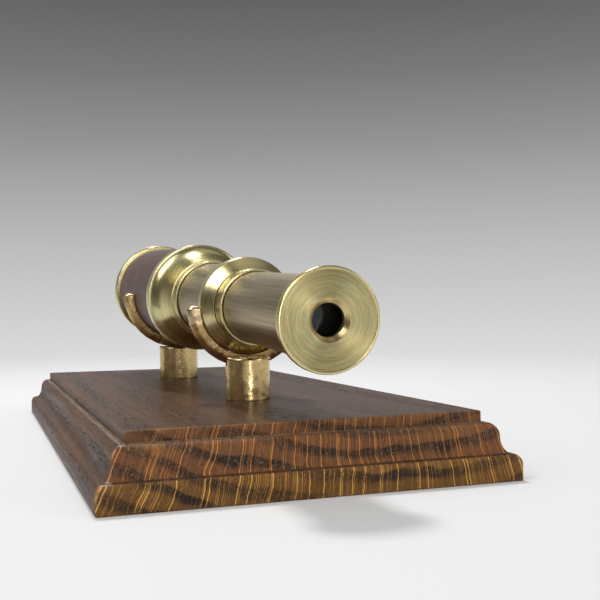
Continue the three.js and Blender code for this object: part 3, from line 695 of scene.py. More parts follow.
@once
def bronzed_brass():
    """Drawn tube, bronzed grey-brown, with fine marks along it."""
    own = finishes()
    material, tree, shader, vector = new_material("bronzed_brass")
    marks = effect(tree, "Drawing marks", {"Vector": vector, "Across": 3.4, "Along": 0.035})
    dull = effect(tree, "Tarnish", {"Vector": vector, "Patch size": 0.06})
    worn = effect(tree, "Edge wear", {"Vector": vector, "Breaks": 0.3})["Mask"]
    streak = remap(tree, marks["Height"], 0.36, 0.6)
    tone = mix(tree, streak, shade(own.bronzed, 0.62), own.bronzed)
    tone = mix(tree, times(tree, dull["Patches"], 0.25), tone, own.bronzed_worn)
    tone = mix(tree, times(tree, marks["Scratches"], 0.55), tone, own.brass_dull)
    tone = mix(tree, times(tree, worn, 0.8), tone, own.brass)
    link(tree, tone, shader, "Base Color")
    shine = remap(tree, marks["Height"], 0.3, 0.7, 0.36, 0.28)
    link(tree, calc(tree, "ADD", shine, times(tree, dull["Specks"], 0.1)), shader, "Roughness")
    settle(shader, {"Metallic": 1.0})
    bumped(tree, shader, (marks["Height"], 0.006 * MM), (marks["Scratches"], 0.006 * MM))
    return material


@once
def post_brass():
    """Hand-finished brass, hammered and filed."""
    own = finishes()
    material, tree, shader, vector = new_material("post_brass")
    dull = effect(tree, "Tarnish", {"Vector": vector, "Patch size": 0.3})
    marks = effect(tree, "Drawing marks", {"Vector": vector, "Across": 1.6, "Along": 0.4})
    tone = mix(tree, times(tree, dull["Patches"], 0.75), own.cast, own.cast_dull)
    tone = mix(tree, times(tree, dull["Specks"], 0.7), tone, own.braze)
    link(tree, tone, shader, "Base Color")
    link(tree, remap(tree, marks["Height"], 0.3, 0.7, 0.16, 0.3), shader, "Roughness")
    settle(shader, {"Metallic": 1.0})
    lumps = ripple(tree, vector, 1400.0, 3.0, 0.6)
    bumped(tree, shader, (lumps, 0.035 * MM), (marks["Height"], 0.012 * MM))
    return material


@once
def cradle_bar():
    """Brazed half-round bar: coppery heat tint, rubbed golden, with pale brazed tips that also paint a
    highlight.
    """
    own = finishes()
    material, tree, shader, vector = new_material("brazed_bar")
    dull = effect(tree, "Tarnish", {"Vector": vector, "Patch size": 0.22})
    worn = effect(tree, "Edge wear", {"Vector": vector, "Breaks": 0.5})["Mask"]
    golden = add(tree, "Attribute", attribute_name="golden").outputs["Fac"]
    tip = add(tree, "Attribute", attribute_name="tip").outputs["Fac"]
    tone = mix(tree, times(tree, dull["Patches"], 0.6), own.bar, own.bar_golden)
    tone = mix(tree, golden, tone, own.bar_golden)
    # The pale tips: brazing metal, and a painted highlight on their ends.
    ragged = calc(tree, "ADD", tip, remap(tree, ripple(tree, vector, 500.0, 3.0), 0.3, 0.7, -0.35, 0.35))
    pale = remap(tree, ragged, 0.4, 0.6, 0.0, 0.55)
    tone = mix(tree, pale, tone, own.braze)
    tone = mix(tree, times(tree, worn, 0.5), tone, own.braze)
    tone = mix(tree, times(tree, dull["Specks"], 0.6), tone, own.cast_dull)
    link(tree, tone, shader, "Base Color")
    link(tree, remap(tree, dull["Patches"], 0.0, 1.0, 0.26, 0.44), shader, "Roughness")
    settle(shader, {"Metallic": 1.0})
    lumps = ripple(tree, vector, 900.0, 4.0, 0.6)
    bumped(tree, shader, (lumps, 0.12 * MM))
    return material


@once
def brazing():
    """Brazing metal, frozen in pale lumps."""
    own = finishes()
    material, tree, shader, vector = new_material("brazing")
    dull = effect(tree, "Tarnish", {"Vector": vector, "Patch size": 0.6})
    tone = mix(tree, dull["Patches"], own.braze, own.cast)
    tone = mix(tree, dull["Specks"], tone, own.cast_dull)
    link(tree, tone, shader, "Base Color")
    link(tree, remap(tree, dull["Patches"], 0.0, 1.0, 0.2, 0.4), shader, "Roughness")
    settle(shader, {"Metallic": 1.0})
    bumped(tree, shader, (ripple(tree, vector, 1800.0, 3.0, 0.6), 0.05 * MM))
    return material


@once
def leather():
    """Dark red-brown leather, close-grained and polished by handling."""
    own = finishes()
    material, tree, shader, vector = new_material("leather")
    dull = effect(tree, "Tarnish", {"Vector": vector, "Patch size": 0.07})
    worn = effect(tree, "Edge wear", {"Vector": vector, "Breaks": 0.3})["Mask"]
    grain = {"Vector": vector, "Scale": 1500.0, "Randomness": 1.0}
    pebble = add(tree, "TexVoronoi", grain, feature="DISTANCE_TO_EDGE").outputs["Distance"]
    pebble = remap(tree, pebble, 0.0, 0.22)
    crease = ripple(tree, stretch(tree, vector, (1.0, 0.35, 1.0)), 260.0, 5.0, 0.7, 0.6)
    tone = mix(tree, times(tree, dull["Patches"], 0.6), own.leather, own.leather_worn)
    tone = mix(tree, remap(tree, pebble, 0.0, 0.5, 0.55, 0.0), tone, shade(own.leather, 0.35))
    tone = mix(tree, times(tree, worn, 0.6), tone, own.leather_worn)
    link(tree, tone, shader, "Base Color")
    link(tree, remap(tree, dull["Patches"], 0.0, 1.0, 0.4, 0.55), shader, "Roughness")
    settle(shader, {"Specular IOR Level": 0.35, "Coat Weight": 0.06, "Coat Roughness": 0.3})
    bumped(tree, shader, (crease, 0.2 * MM), (pebble, 0.05 * MM))
    return material


@once
def steel(in_row_frame=False):
    """Bright turned steel with a little oil staining."""
    own = finishes()
    material, tree, shader, vector = new_material("steel", in_row_frame)
    marks = effect(tree, "Drawing marks", {"Vector": vector, "Across": 3.0, "Along": 3.0})
    dull = effect(tree, "Tarnish", {"Vector": vector, "Patch size": 0.5})
    worn = effect(tree, "Edge wear", {"Vector": vector, "Breaks": 1.0})["Mask"]
    tone = mix(tree, times(tree, dull["Patches"], 0.5), own.steel, shade(own.steel, 0.5))
    tone = mix(tree, times(tree, worn, 0.6), tone, (0.8, 0.8, 0.8))
    link(tree, tone, shader, "Base Color")
    link(tree, remap(tree, marks["Height"], 0.3, 0.7, 0.22, 0.4), shader, "Roughness")
    settle(shader, {"Metallic": 1.0})
    bumped(tree, shader, (marks["Height"], 0.01 * MM))
    return material


@once
def optical_black():
    """Matt black lacquer of the inner surfaces."""
    own = finishes()
    material, tree, shader, vector = new_material("optical_black", True)
    dull = effect(tree, "Tarnish", {"Vector": vector, "Patch size": 0.3})
    tone = mix(tree, times(tree, dull["Patches"], 0.5), own.black, shade(own.black, 2.2))
    link(tree, tone, shader, "Base Color")
    link(tree, remap(tree, dull["Patches"], 0.0, 1.0, 0.6, 0.8), shader, "Roughness")
    bumped(tree, shader, (ripple(tree, vector, 4000.0, 2.0), 0.01 * MM))
    return material


# Refractive index of each glass. The eye window is bloomed, so it hardly reflects.
GLASS_INDEX = {"crown": 1.52, "flint": 1.62, "window": 1.1}


@once
def glass(kind, shaded=False):
    """Polished optical glass with a trace of dust, or dark brown as painted shade where it is cemented in a
    blackened cell.
    """
    own = finishes()
    material, tree, shader, vector = new_material(("shaded_" if shaded else "") + kind + "_glass", True)
    dull = effect(tree, "Tarnish", {"Vector": vector, "Patch size": 1.5})
    link(tree, remap(tree, dull["Specks"], 0.0, 1.0, 0.0, 0.12), shader, "Roughness")
    clear = own.flint if kind == "flint" else own.crown
    body = own.glass_painted_shade if shaded else clear
    tone = mix(tree, times(tree, dull["Patches"], 0.15), body, shade(body, 0.85))
    link(tree, tone, shader, "Base Color")
    settle(shader, {"IOR": GLASS_INDEX[kind], "Specular IOR Level": 0.1, "Transmission Weight": 1.0})
    return material


@once
def cork():
    """Cut cork with its dark pits."""
    own = finishes()
    material, tree, shader, vector = new_material("cork", True)
    cells = add(tree, "TexVoronoi", {"Vector": vector, "Scale": 1600.0}).outputs["Distance"]
    pits = remap(tree, ripple(tree, vector, 700.0, 3.0), 0.6, 0.68)
    tone = mix(tree, remap(tree, cells, 0.0, 0.8), own.cork, shade(own.cork, 0.6))
    tone = mix(tree, pits, tone, shade(own.cork, 0.2))
    link(tree, tone, shader, "Base Color")
    link(tree, remap(tree, pits, 0.0, 1.0, 0.85, 0.95), shader, "Roughness")
    bumped(tree, shader, (cells, 0.05 * MM))
    return material


# Rays of oak: lines for each mm of arc, half width as a share of the spacing, noise where a ray begins and
# is full, and strength
RAY_LAYERS = ((0.3, 0.038, 0.3, 0.38, 1.0), (0.6, 0.05, 0.5, 0.58, 0.5), (2.0, 0.2, 0.4, 0.62, 0.42))
PITH = (18.0, 128.0)  # mm from the middle of the plinth and above its underside
RING_WIDTH = 4.6  # mm
RING_START = 0.13  # share of a ring, which puts a dark ring on the top fillet


def oak_rays(tree, arc, grown):
    """Mask of the rays, which run across the rings."""
    wander = ripple(tree, stretch(tree, grown, (0.05, 0.22, 0.03)))
    bent = calc(tree, "ADD", arc, times(tree, wander, 1.5))
    rays = 0.0
    for per_mm, half_width, low, high, weight in RAY_LAYERS:
        place = {"W": times(tree, bent, per_mm), "Scale": 1.0}
        line = add(tree, "TexVoronoi", place, voronoi_dimensions="1D").outputs["Distance"]
        thin = remap(tree, line, half_width * 0.5, half_width, 1.0, 0.0)
        breaks = ripple(tree, stretch(tree, grown, (per_mm * 0.5, 0.05, 0.08)), 1.0, 1.0)
        seen = times(tree, thin, remap(tree, breaks, low, high))
        rays = calc(tree, "MAXIMUM", times(tree, seen, weight), rays)
    return rays


def oak_spring(tree, ring, grown):
    """Mask of the part of each year's ring that holds the large pores."""
    swell = ripple(tree, stretch(tree, grown, (0.035, 0.05, 0.004)), 1.0, 3.0, 0.6)
    year = calc(tree, "ADD", times(tree, ring, 1 / RING_WIDTH), RING_START)
    season = calc(tree, "FRACT", calc(tree, "ADD", year, times(tree, swell, 2.0)))
    return times(tree, remap(tree, season, 0.0, 0.1), remap(tree, season, 0.36, 0.6, 1.0, 0.0))


def oak_pores(tree, spring, grown):
    """Masks of the large pores and of all pores."""
    cells = {"Vector": stretch(tree, grown, (3.3, 3.3, 0.16)), "Scale": 1.0}
    cell = add(tree, "TexVoronoi", cells).outputs["Distance"]
    large = times(tree, remap(tree, cell, 0.22, 0.4, 1.0, 0.0), spring)
    small = ripple(tree, stretch(tree, grown, (6.5, 6.5, 0.3)), 1.0, 2.0, 0.6)
    return large, calc(tree, "MAXIMUM", large, remap(tree, small, 0.6, 0.7, 0.0, 0.6))


@once
def oak():
    """Stained oak whose grain runs along Y, with growth rings and rays about a pith above the plinth."""
    own = finishes()
    shoulder_top, _, ledge_height = [height / MM for height in moulding_heights()]
    material, tree, shader, vector = new_material("oak")
    x, y, height = add(tree, "SeparateXYZ", {0: stretch(tree, vector, (PER_MM, PER_MM, PER_MM))}).outputs
    across = calc(tree, "SUBTRACT", x, PITH[0])
    below = calc(tree, "SUBTRACT", PITH[1], height)
    ring = size_of(tree, joined(tree, across, below, 0.0))
    arc = times(tree, calc(tree, "ARCTAN2", across, below), PITH[1])
    grown = joined(tree, arc, ring, y)
    facing = add(tree, "SeparateXYZ", {0: add(tree, "TexCoord").outputs["Normal"]}).outputs
    end_grain = remap(tree, calc(tree, "ABSOLUTE", facing[1]), 0.3, 0.6)
    long_grain = calc(tree, "SUBTRACT", 1.0, end_grain)
    # Below this height the band's colours are painted light.
    above_band = remap(tree, height, shoulder_top - 0.3, shoulder_top)

    rays = oak_rays(tree, arc, grown)
    spring = oak_spring(tree, ring, grown)
    large_pores, pores = oak_pores(tree, spring, grown)
    patch = ripple(tree, stretch(tree, grown, (0.06, 0.2, 0.015)), 1.0, 4.0, 0.6)
    fibre = ripple(tree, stretch(tree, grown, (4.5, 1.6, 0.06)), 1.0, 3.0, 0.65)

    tone = mix(tree, end_grain, own.oak_long, mix(tree, above_band, own.oak_band_painted_light, own.oak))
    dark = times(tree, spring, remap(tree, patch, 0.36, 0.6, 0.35, 0.95))
    dark = times(tree, dark, remap(tree, end_grain, 0.0, 1.0, 0.3, 1.0))
    tone = mix(tree, dark, tone, own.oak_dark)
    tone = mix(tree, remap(tree, fibre, 0.36, 0.62, 0.5, 0.0), tone, own.oak_dark)
    streak = ripple(tree, stretch(tree, grown, (0.8, 0.5, 0.018)), 1.0, 4.0, 0.7)
    streak = times(tree, remap(tree, streak, 0.42, 0.6, 0.65, 0.0), long_grain)
    tone = mix(tree, streak, tone, own.oak_dark)
    ray_tone = mix(tree, above_band, own.oak_ray_painted_light, own.oak_ray)
    ray_tone = mix(tree, end_grain, shade(own.oak_long, 0.5), ray_tone)
    tone = mix(tree, times(tree, rays, remap(tree, dark, 0.2, 0.9, 0.95, 0.6)), tone, ray_tone)
    tone = mix(tree, pores, tone, shade(own.oak_dark, 0.6))

    dust = times(tree, large_pores, times(tree, end_grain, above_band))
    speck = remap(tree, ripple(tree, stretch(tree, grown, (1.2, 1.2, 0.3)), 1.0, 3.0), 0.46, 0.6, 0.0, 0.8)
    tone = mix(tree, times(tree, dust, speck), tone, own.oak_dust_and_highlight)
    # The pale line on the ledge's upward face: dust, and a painted highlight.
    ledge = times(
        tree,
        remap(tree, height, ledge_height - 0.15, ledge_height - 0.05),
        remap(tree, height, ledge_height + 0.35, ledge_height + 0.65, 1.0, 0.0),
    )
    ledge = times(tree, ledge, remap(tree, facing[2], 0.3, 0.7))
    ledge = times(tree, ledge, remap(tree, fibre, 0.35, 0.6, 0.0, 0.6))
    tone = mix(tree, ledge, tone, own.oak_dust_and_highlight)
    worn = effect(tree, "Edge wear", {"Vector": vector, "Breaks": 0.15})["Mask"]
    off_flat_top = remap(tree, facing[2], 0.95, 0.99, 0.55, 0.0)
    tone = mix(tree, times(tree, worn, off_flat_top), tone, own.oak_worn)
    link(tree, tone, shader, "Base Color")

    smooth = calc(tree, "SUBTRACT", remap(tree, patch, 0.3, 0.7, 0.5, 0.4), times(tree, rays, 0.08))
    link(tree, calc(tree, "ADD", smooth, times(tree, pores, 0.25)), shader, "Roughness")
    link(tree, remap(tree, facing[2], 0.5, 0.95, 0.0, 0.14), shader, "Coat Weight")
    settle(shader, {"Specular IOR Level": 0.12, "Coat Roughness": 0.2})
    pit = calc(tree, "SUBTRACT", 1.0, pores)
    bumped(tree, shader, (fibre, 0.03 * MM), (pit, 0.08 * MM))
    return material


# ---------------------------------------------------------------- operators


def bored_brass(node, body, outline, bore, way="turned"):
    """A turned or drawn brass piece with a blackened bore. Gives its mesh."""
    mesh = turned(node, outline)
    blacken_bore(mesh, bore + FIT_GAP)
    brass = [polished_brass(), optical_black()]
    shown(mesh, way + "_" + node, body, [node], brass)
    return mesh


class SPECTROSCOPE_OT_eye_cap(bpy.types.Operator):
    """Turns the eye cap, with a raised rim, a dished face and a countersunk eye hole"""

    bl_idname = "spectroscope.eye_cap"
    bl_label = "Eye cap"

    def execute(self, context):
        own = sizes()
        cap = span("eye_cap")
        window = span("eye_window")
        tube = span("eye_tube")
        ease = own.edge_ease
        rim_back = tube.front - SEAT_GAP
        neck = tube.inner - FIT_GAP
        recess = window.outer + FIT_GAP
        dish = cap.front + own.cap_dish
        lip = cap.inner + own.countersink
        rim_inner = cap.outer - own.cap_rim_width
        outline = eased([
            (lip, dish, 0.12 * MM),
            (rim_inner - own.cap_dish, dish, 0.05 * MM),
            (rim_inner, cap.front, 0.05 * MM),
            (cap.outer, cap.front, own.cap_round),
            (cap.outer, rim_back, ease),
            (neck, rim_back, 0),
            (neck, cap.back, ease),
            (recess, cap.back, ease),
            (recess, cap.front + own.cap_wall, 0),
            (cap.inner, cap.front + own.cap_wall, 0.05 * MM),
            (cap.inner, cap.front + own.countersink, 0.06 * MM),
        ], longest=1.2 * MM)
        mesh = turned("eye_cap", outline)
        for face in mesh.polygons:
            radius = math.hypot(face.center.x, face.center.z)
            on_face = lip < radius < rim_inner - own.cap_dish and face.center.y < rim_back
            face.material_index = 0 if on_face else 1
        brass = polished_brass(density=8.0, rough=0.52, anisotropy=0.93, contrast=0.42, wear=0.0)
        edges = polished_brass(density=4.0, rough=0.26, anisotropy=0.6, contrast=0.25, coppery_to=lip)
        shown(mesh, "turned_eye_cap", "eye_draw", ["eye_cap"], [brass, edges])
        return {"FINISHED"}


class SPECTROSCOPE_OT_draw_tubes(bpy.types.Operator):
    """Draws the eye tube and the middle tube, bronzed outside and blackened inside"""

    bl_idname = "spectroscope.draw_tubes"
    bl_label = "Draw tubes"

    def execute(self, context):
        for node, body in (("eye_tube", "eye_draw"), ("middle_tube", "middle_draw")):
            tube = span(node)
            outline = tube_outline(tube, 0.12 * MM, 4 * MM)
            mesh = turned(node, outline)
            blacken_bore(mesh, tube.inner + FIT_GAP)
            shown(mesh, "drawn_" + node, body, [node], [bronzed_brass(), optical_black()])
        return {"FINISHED"}


class SPECTROSCOPE_OT_middle_collar(bpy.types.Operator):
    """Turns the collar of the middle draw, with its grooved neck, shoulder and rim"""

    bl_idname = "spectroscope.middle_collar"
    bl_label = "Middle collar"

    def execute(self, context):
        own = sizes()
        collar = span("middle_collar")
        tube = span("middle_tube")
        ease = own.edge_ease
        rim_back = tube.front - SEAT_GAP
        rim_front = rim_back - own.middle_rim
        shoulder = rim_front - own.middle_shoulder
        neck = tube.inner - FIT_GAP / 2
        spigot = tube.inner - FIT_GAP
        groove = neck - own.groove_depth
        outline = eased([
            (collar.inner, collar.front, 0.08 * MM),
            (neck, collar.front, ease),
            (neck, shoulder - own.groove_width, 0.05 * MM),
            (groove, shoulder - own.groove_width, 0.05 * MM),
            (groove, shoulder, 0.05 * MM),
            (neck, shoulder, 0.05 * MM),
            (collar.outer, rim_front, 0.35 * MM),
            (collar.outer, rim_back, ease),
            (spigot, rim_back, 0),
            (spigot, collar.back, ease),
            (collar.inner, collar.back, ease),
        ], longest=1.2 * MM)
        mesh = bored_brass("middle_collar", "middle_draw", outline, collar.inner)
        # The groove's floor and walls take the optical black: painted shade for the shade that falls in the
        # groove.
        groove_back = shoulder + FIT_GAP / 2
        for face in mesh.polygons:
            radius = math.hypot(face.center.x, face.center.z)
            if groove_back - own.groove_width < face.center.y < groove_back and radius < neck - FIT_GAP:
                face.material_index = 1
        return {"FINISHED"}


class SPECTROSCOPE_OT_barrel_collar(bpy.types.Operator):
    """Turns the flared collar at the front of the barrel"""

    bl_idname = "spectroscope.barrel_collar"
    bl_label = "Barrel collar"

    def execute(self, context):
        own = sizes()
        collar = span("barrel_collar")
        cover = span("barrel_cover")
        spigot = span("barrel_tube").inner - FIT_GAP
        ease = own.edge_ease
        rim_back = cover.front - SEAT_GAP
        rim_front = rim_back - own.barrel_rim
        flare_front = collar.front + own.barrel_neck
        neck = collar.inner + own.barrel_neck_wall
        root = neck + own.flare_root
        rise = (collar.outer - root, rim_front - flare_front)
        flare = quarter((collar.outer, flare_front), rise, math.pi, math.pi / 2, 24)
        start = [
            (collar.inner, collar.front, 0.08 * MM),
            (neck, collar.front, ease),
            (neck, flare_front, 0.05 * MM),
            (root, flare_front, 0.06 * MM),
        ]
        end = [
            (collar.outer, rim_back, ease),
            (spigot, rim_back, 0),
            (spigot, collar.back, ease),
            (collar.inner, collar.back, ease),
        ]
        outline = eased(start + flare[:-1] + [(*flare[-1], 0.25 * MM)] + end, longest=1.2 * MM)
        bored_brass("barrel_collar", "barrel", outline, collar.inner)
        return {"FINISHED"}


class SPECTROSCOPE_OT_barrel(bpy.types.Operator):
    """Makes the barrel tube and wraps it in leather, with the seam underneath"""

    bl_idname = "spectroscope.barrel"
    bl_label = "Barrel and leather"

    def execute(self, context):
        tube = span("barrel_tube")
        outline = tube_outline(tube, 0.1 * MM)
        bored_brass("barrel_tube", "barrel", outline, tube.inner, "drawn")

        cover = span("barrel_cover")
        seam = sizes().seam_depth
        seam_angle = 0.75 * FULL_TURN
        swell = 0.07 * MM

        def relief(angle, radius, station):
            if radius < cover.inner + FIT_GAP:
                return 0
            point = Vector((math.cos(angle), station / (14 * MM), math.sin(angle)))
            uneven = swell * (0.5 + 0.5 * noise.noise(point * 2))
            off_seam = (angle - seam_angle) * cover.outer / (0.35 * MM)
            return uneven + seam * math.exp(-off_seam * off_seam)

        outline = tube_outline(cover, 0.35 * MM, 0.8 * MM)
        mesh = turned("barrel_cover", outline, 288, relief)
        shown(mesh, "leather_barrel_cover", "barrel", ["barrel_cover"], [leather()])
        return {"FINISHED"}


class SPECTROSCOPE_OT_end_ring(bpy.types.Operator):
    """Turns the ring at the slit end of the barrel"""

    bl_idname = "spectroscope.end_ring"
    bl_label = "End ring"

    def execute(self, context):
        ring = span("end_ring")
        spigot = span("barrel_tube").inner - FIT_GAP
        front = span("barrel_cover").back + SEAT_GAP
        ease = sizes().edge_ease
        outline = eased([
            (ring.inner, ring.front, ease),
            (spigot, ring.front, ease),
            (spigot, front, 0),
            (ring.outer, front, 0.4 * MM),
            (ring.outer, ring.back, 0.5 * MM),
            (ring.inner, ring.back, 0.05 * MM),
        ], longest=1.2 * MM)
        bored_brass("end_ring", "barrel", outline, ring.inner)
        return {"FINISHED"}


def node_middle(node):
    """Middle of a CAD node across the instrument's axis, as x and z of its own frame."""
    points = local_points(node, INSTRUMENT)
    xs = [point.x for point in points]
    zs = [point.z for point in points]
    return (min(xs) + max(xs)) / 2, (min(zs) + max(zs)) / 2


def slot_cutter(ring, pin, half_width):
    """The spiral slot of the adjusting ring: where the jaw's pin runs as the ring turns."""
    turn = math.radians(joint("slit_ring_turn")["range_deg"][1])
    travel = joint("slit_jaw_slide")["range_m"][1]
    steps = 24
    outer_side, inner_side = [], []
    for step in range(steps + 1):
        share = step / steps
        way = Vector((math.cos(turn * share), math.sin(turn * share)))
        centre = way * (pin + travel * share)
        outer_side.append(centre + way * half_width)
        inner_side.append(centre - way * half_width)
    first_end = arc_points(Vector((pin, 0)), half_width, -math.pi, 0)
    last = Vector((math.cos(turn), math.sin(turn))) * (pin + travel)
    last_end = arc_points(last, half_width, turn, turn + math.pi)
    around = first_end + outer_side[1:-1] + last_end + inner_side[-2:0:-1]
    bm = bmesh.new()
    low = [bm.verts.new((point.x, ring.front - MM, point.y)) for point in around]
    high = [bm.verts.new((point.x, ring.back, point.y)) for point in around]
    bridge(bm, low, high)
    bm.faces.new(low)
    bm.faces.new(high)
    return mesh_from("slot", bm)


class SPECTROSCOPE_OT_slit_head(bpy.types.Operator):
    """Turns the knurled adjusting ring and the bezel, and finishes the slit's window"""

    bl_idname = "spectroscope.slit_head"
    bl_label = "Slit head"

    def execute(self, context):
        self.adjusting_ring()
        self.bezel()
        window = span("slit_window")
        mesh = turned("slit_window", disc_outline(window.outer, window.front, window.back, 0.1 * MM))
        shown(mesh, "ground_slit_window", "barrel", ["slit_window"], [glass("crown")])
        return {"FINISHED"}

    def adjusting_ring(self):
        own = sizes()
        ring = span("slit_adjusting_ring")
        floor = span("slit_fixed_jaw").front - SEAT_GAP
        recess = span("slit_bezel").outer + SEAT_GAP
        outline = eased([
            (ring.inner, ring.front, 0.05 * MM),
            (ring.outer, ring.front, 0.3 * MM),
            (ring.outer, ring.back, 0.3 * MM),
            (recess, ring.back, 0.1 * MM),
            (recess, floor, 0),
            (ring.inner, floor, 0.05 * MM),
        ], longest=0.8 * MM)
        inset = 0.45 * MM

        def relief(angle, radius, station):
            on_rim = radius > ring.outer - 0.02 * MM
            if not on_rim or not ring.front + inset < station < ring.back - inset:
                return 0
            return own.knurl_depth * (0.5 - 0.5 * math.cos(own.knurl_count * angle))

        mesh = turned("adjusting_ring", outline, own.knurl_count * 6, relief)
        mesh = cut_away(mesh, [slot_cutter(ring, jaw_pin_radius(), SLOT_HALF_WIDTH)])
        brass = [polished_brass()]
        shown(mesh, "knurled_adjusting_ring", "slit_ring", ["slit_adjusting_ring"], brass)

    def bezel(self):
        bezel = span("slit_bezel")
        window = span("slit_window")
        seat = window.outer + FIT_GAP
        lip = window.back + FIT_GAP
        outline = eased([
            (seat, bezel.front, 0.05 * MM),
            (bezel.outer, bezel.front, 0.1 * MM),
            (bezel.outer, bezel.back, 0.35 * MM),
            (bezel.inner + 0.5 * MM, bezel.back, 0.08 * MM),
            (bezel.inner, lip, 0.05 * MM),
            (seat, lip, 0),
        ], longest=1.2 * MM)
        mesh = turned("slit_bezel", outline)
        holes = []
        for node in ("bezel_screw_lower", "bezel_screw_upper"):
            x, z = node_middle(node)
            hole = turned("hole", disc_outline(BEZEL_HOLE, bezel.front - MM, bezel.back + MM, 0), 48)
            hole.transform(Matrix.Translation((x, 0, z)))
            holes.append(hole)
        mesh = cut_away(mesh, holes)
        brass = [polished_brass(density=4.0, rough=0.3, anisotropy=0.8, contrast=0.3)]
        shown(mesh, "turned_slit_bezel", "barrel", ["slit_bezel"], brass)


def jaw_pin_radius():
    """How far from the axis the moving jaw's pin stands."""
    points = local_points("slit_moving_jaw", INSTRUMENT)
    front = min(point.y for point in points)
    ends = [point.x for point in points if point.y < front + FIT_GAP]
    return (min(ends) + max(ends)) / 2


def slotted_screw(node, place, kind):
    """A slotted cheese-head screw for its CAD node, with its head towards the place's +Y."""
    screw = measured(node, place)
    head_radius = screw.outer
    shank_radius, head_height = kind.shank_radius, kind.head_height
    under_head = screw.back - head_height
    top = screw.back
    outline = eased([
        (0, screw.front),
        (shank_radius, screw.front, shank_radius * 0.3),
        (shank_radius, under_head, 0),
        (head_radius, under_head, head_height * 0.08),
        (head_radius, top - head_height * 0.12, head_height * 0.25),
        (head_radius * 0.55, top - head_height * 0.02, head_height * 0.3),
        (0, top),
    ], closed=False, longest=head_radius * 0.4)
    bm = bmesh.new()
    bmesh.ops.create_cube(bm, size=1)
    size = (3 * head_radius, 2 * kind.slot_depth, kind.slot_width, 1)
    bmesh.ops.transform(bm, matrix=Matrix.Diagonal(size), verts=bm.verts)
    bmesh.ops.translate(bm, verts=bm.verts, vec=(0, top, 0))
    return cut_away(turned(node, outline, 64), [mesh_from("slot", bm)])


class SPECTROSCOPE_OT_small_screws(bpy.types.Operator):
    """Makes the slotted screws of the slit's bezel and fixed jaw"""

    bl_idname = "spectroscope.small_screws"
    bl_label = "Slit screws"

    def execute(self, context):
        turns = {
            "bezel_screw_lower": 0.4,
            "bezel_screw_upper": -0.9,
            "jaw_screw_lower": 0.2,
            "jaw_screw_upper": 1.1,
        }
        for node, turn in turns.items():
            x, z = node_middle(node)
            place = INSTRUMENT @ Matrix.Translation((x, 0, z)) @ Matrix.Rotation(turn, 4, "Y")
            mesh = slotted_screw(node, place, SMALL_SCREW)
            shown(mesh, "slotted_" + node, "barrel", [node], [steel()], place)
        return {"FINISHED"}


class SPECTROSCOPE_OT_cradles(bpy.types.Operator):
    """Bends the two half-round bars into cradles, with hammered tips on the front one"""

    bl_idname = "spectroscope.cradles"
    bl_label = "Cradles"

    def execute(self, context):
        for node, tip, golden in (("front_cradle", sizes().tip_length, 0.1), ("rear_cradle", 0, 0.75)):
            mesh = self.bar(node, tip, golden)
            piece = shown(mesh, "half_round_" + node, "stand", [node], [cradle_bar()])
            piece.modifiers.remove(piece.modifiers["Even shading"])
        return {"FINISHED"}

    def section(self, thickness):
        """Half-round section as (outwards, along the axis), from its inner face."""
        own = sizes()
        half = own.bar_width / 2
        crown = (thickness - own.bar_flank, half)
        front = quarter((own.bar_flank, 0), crown, -math.pi / 2, 0, 8)
        back = quarter((own.bar_flank, 0), crown, 0, math.pi / 2, 8)
        ease = 0.22 * MM
        start = [(0, -half, ease), (own.bar_flank, -half, 0)]
        return eased(start + front + back + [(0, half, ease)], longest=0.35 * MM)

    def bar(self, node, tip, golden):
        cradle = span(node)
        middle = (cradle.front + cradle.back) / 2
        thickness = cradle.outer - cradle.inner + SEAT_GAP - FIT_GAP / 2
        section = self.section(thickness)
        core = (thickness * 0.45, 0)
        arc_length = math.pi * cradle.outer
        steps = round(arc_length / (0.3 * MM))
        nose = 1.1 * MM
        bm = bmesh.new()
        tip_layer = bm.verts.layers.float.new("tip")
        golden_layer = bm.verts.layers.float.new("golden")
        rings = []
        for step in range(steps + 1):
            angle = math.pi + math.pi * step / steps
            to_end = min(step, steps - step) / steps * arc_length
            share = min(1, 0.12 + to_end / nose)
            shrink = math.sqrt(1 - (1 - share) ** 2)
            near_tip = 1 - min(1, to_end / tip) if tip else 0
            ring = []
            for out, along in section:
                point = Vector((math.cos(angle), along / cradle.outer, math.sin(angle))) * cradle.outer
                dent = 0.16 * MM * dents(point + Vector((step * 0.02 * MM, 0, 0)), 2.6 * MM)
                dent *= 1.45 if near_tip > 0 else 0.25
                rough = 0.05 * MM * (1 + noise.noise(point * 900))
                depth = (dent + rough) * min(1, out / (0.5 * MM))
                out, along = lerp(core, (max(0.0, out - depth), along * (1 - depth / (3 * MM))), shrink)
                radius = cradle.inner - SEAT_GAP + FIT_GAP / 2 + out
                vertex = bm.verts.new((radius * math.cos(angle), middle + along, radius * math.sin(angle)))
                vertex[tip_layer] = min(1.0, near_tip / 0.15)
                vertex[golden_layer] = golden
                ring.append(vertex)
            rings.append(ring)
        for first, second in zip(rings, rings[1:]):
            bridge(bm, first, second)
        bm.faces.new(rings[0])
        bm.faces.new(rings[-1])
        return mesh_from(node, bm)


def upright_place(x, y, turn=math.pi / 2):
    """Frame at a point of the plinth whose +Y points up, or down for a quarter turn the other way."""
    return Matrix.Translation((x, y, 0)) @ Matrix.Rotation(turn, 4, "X")


def post_centre(node):
    low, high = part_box(node)
    return (low.x + high.x) / 2, (low.y + high.y) / 2


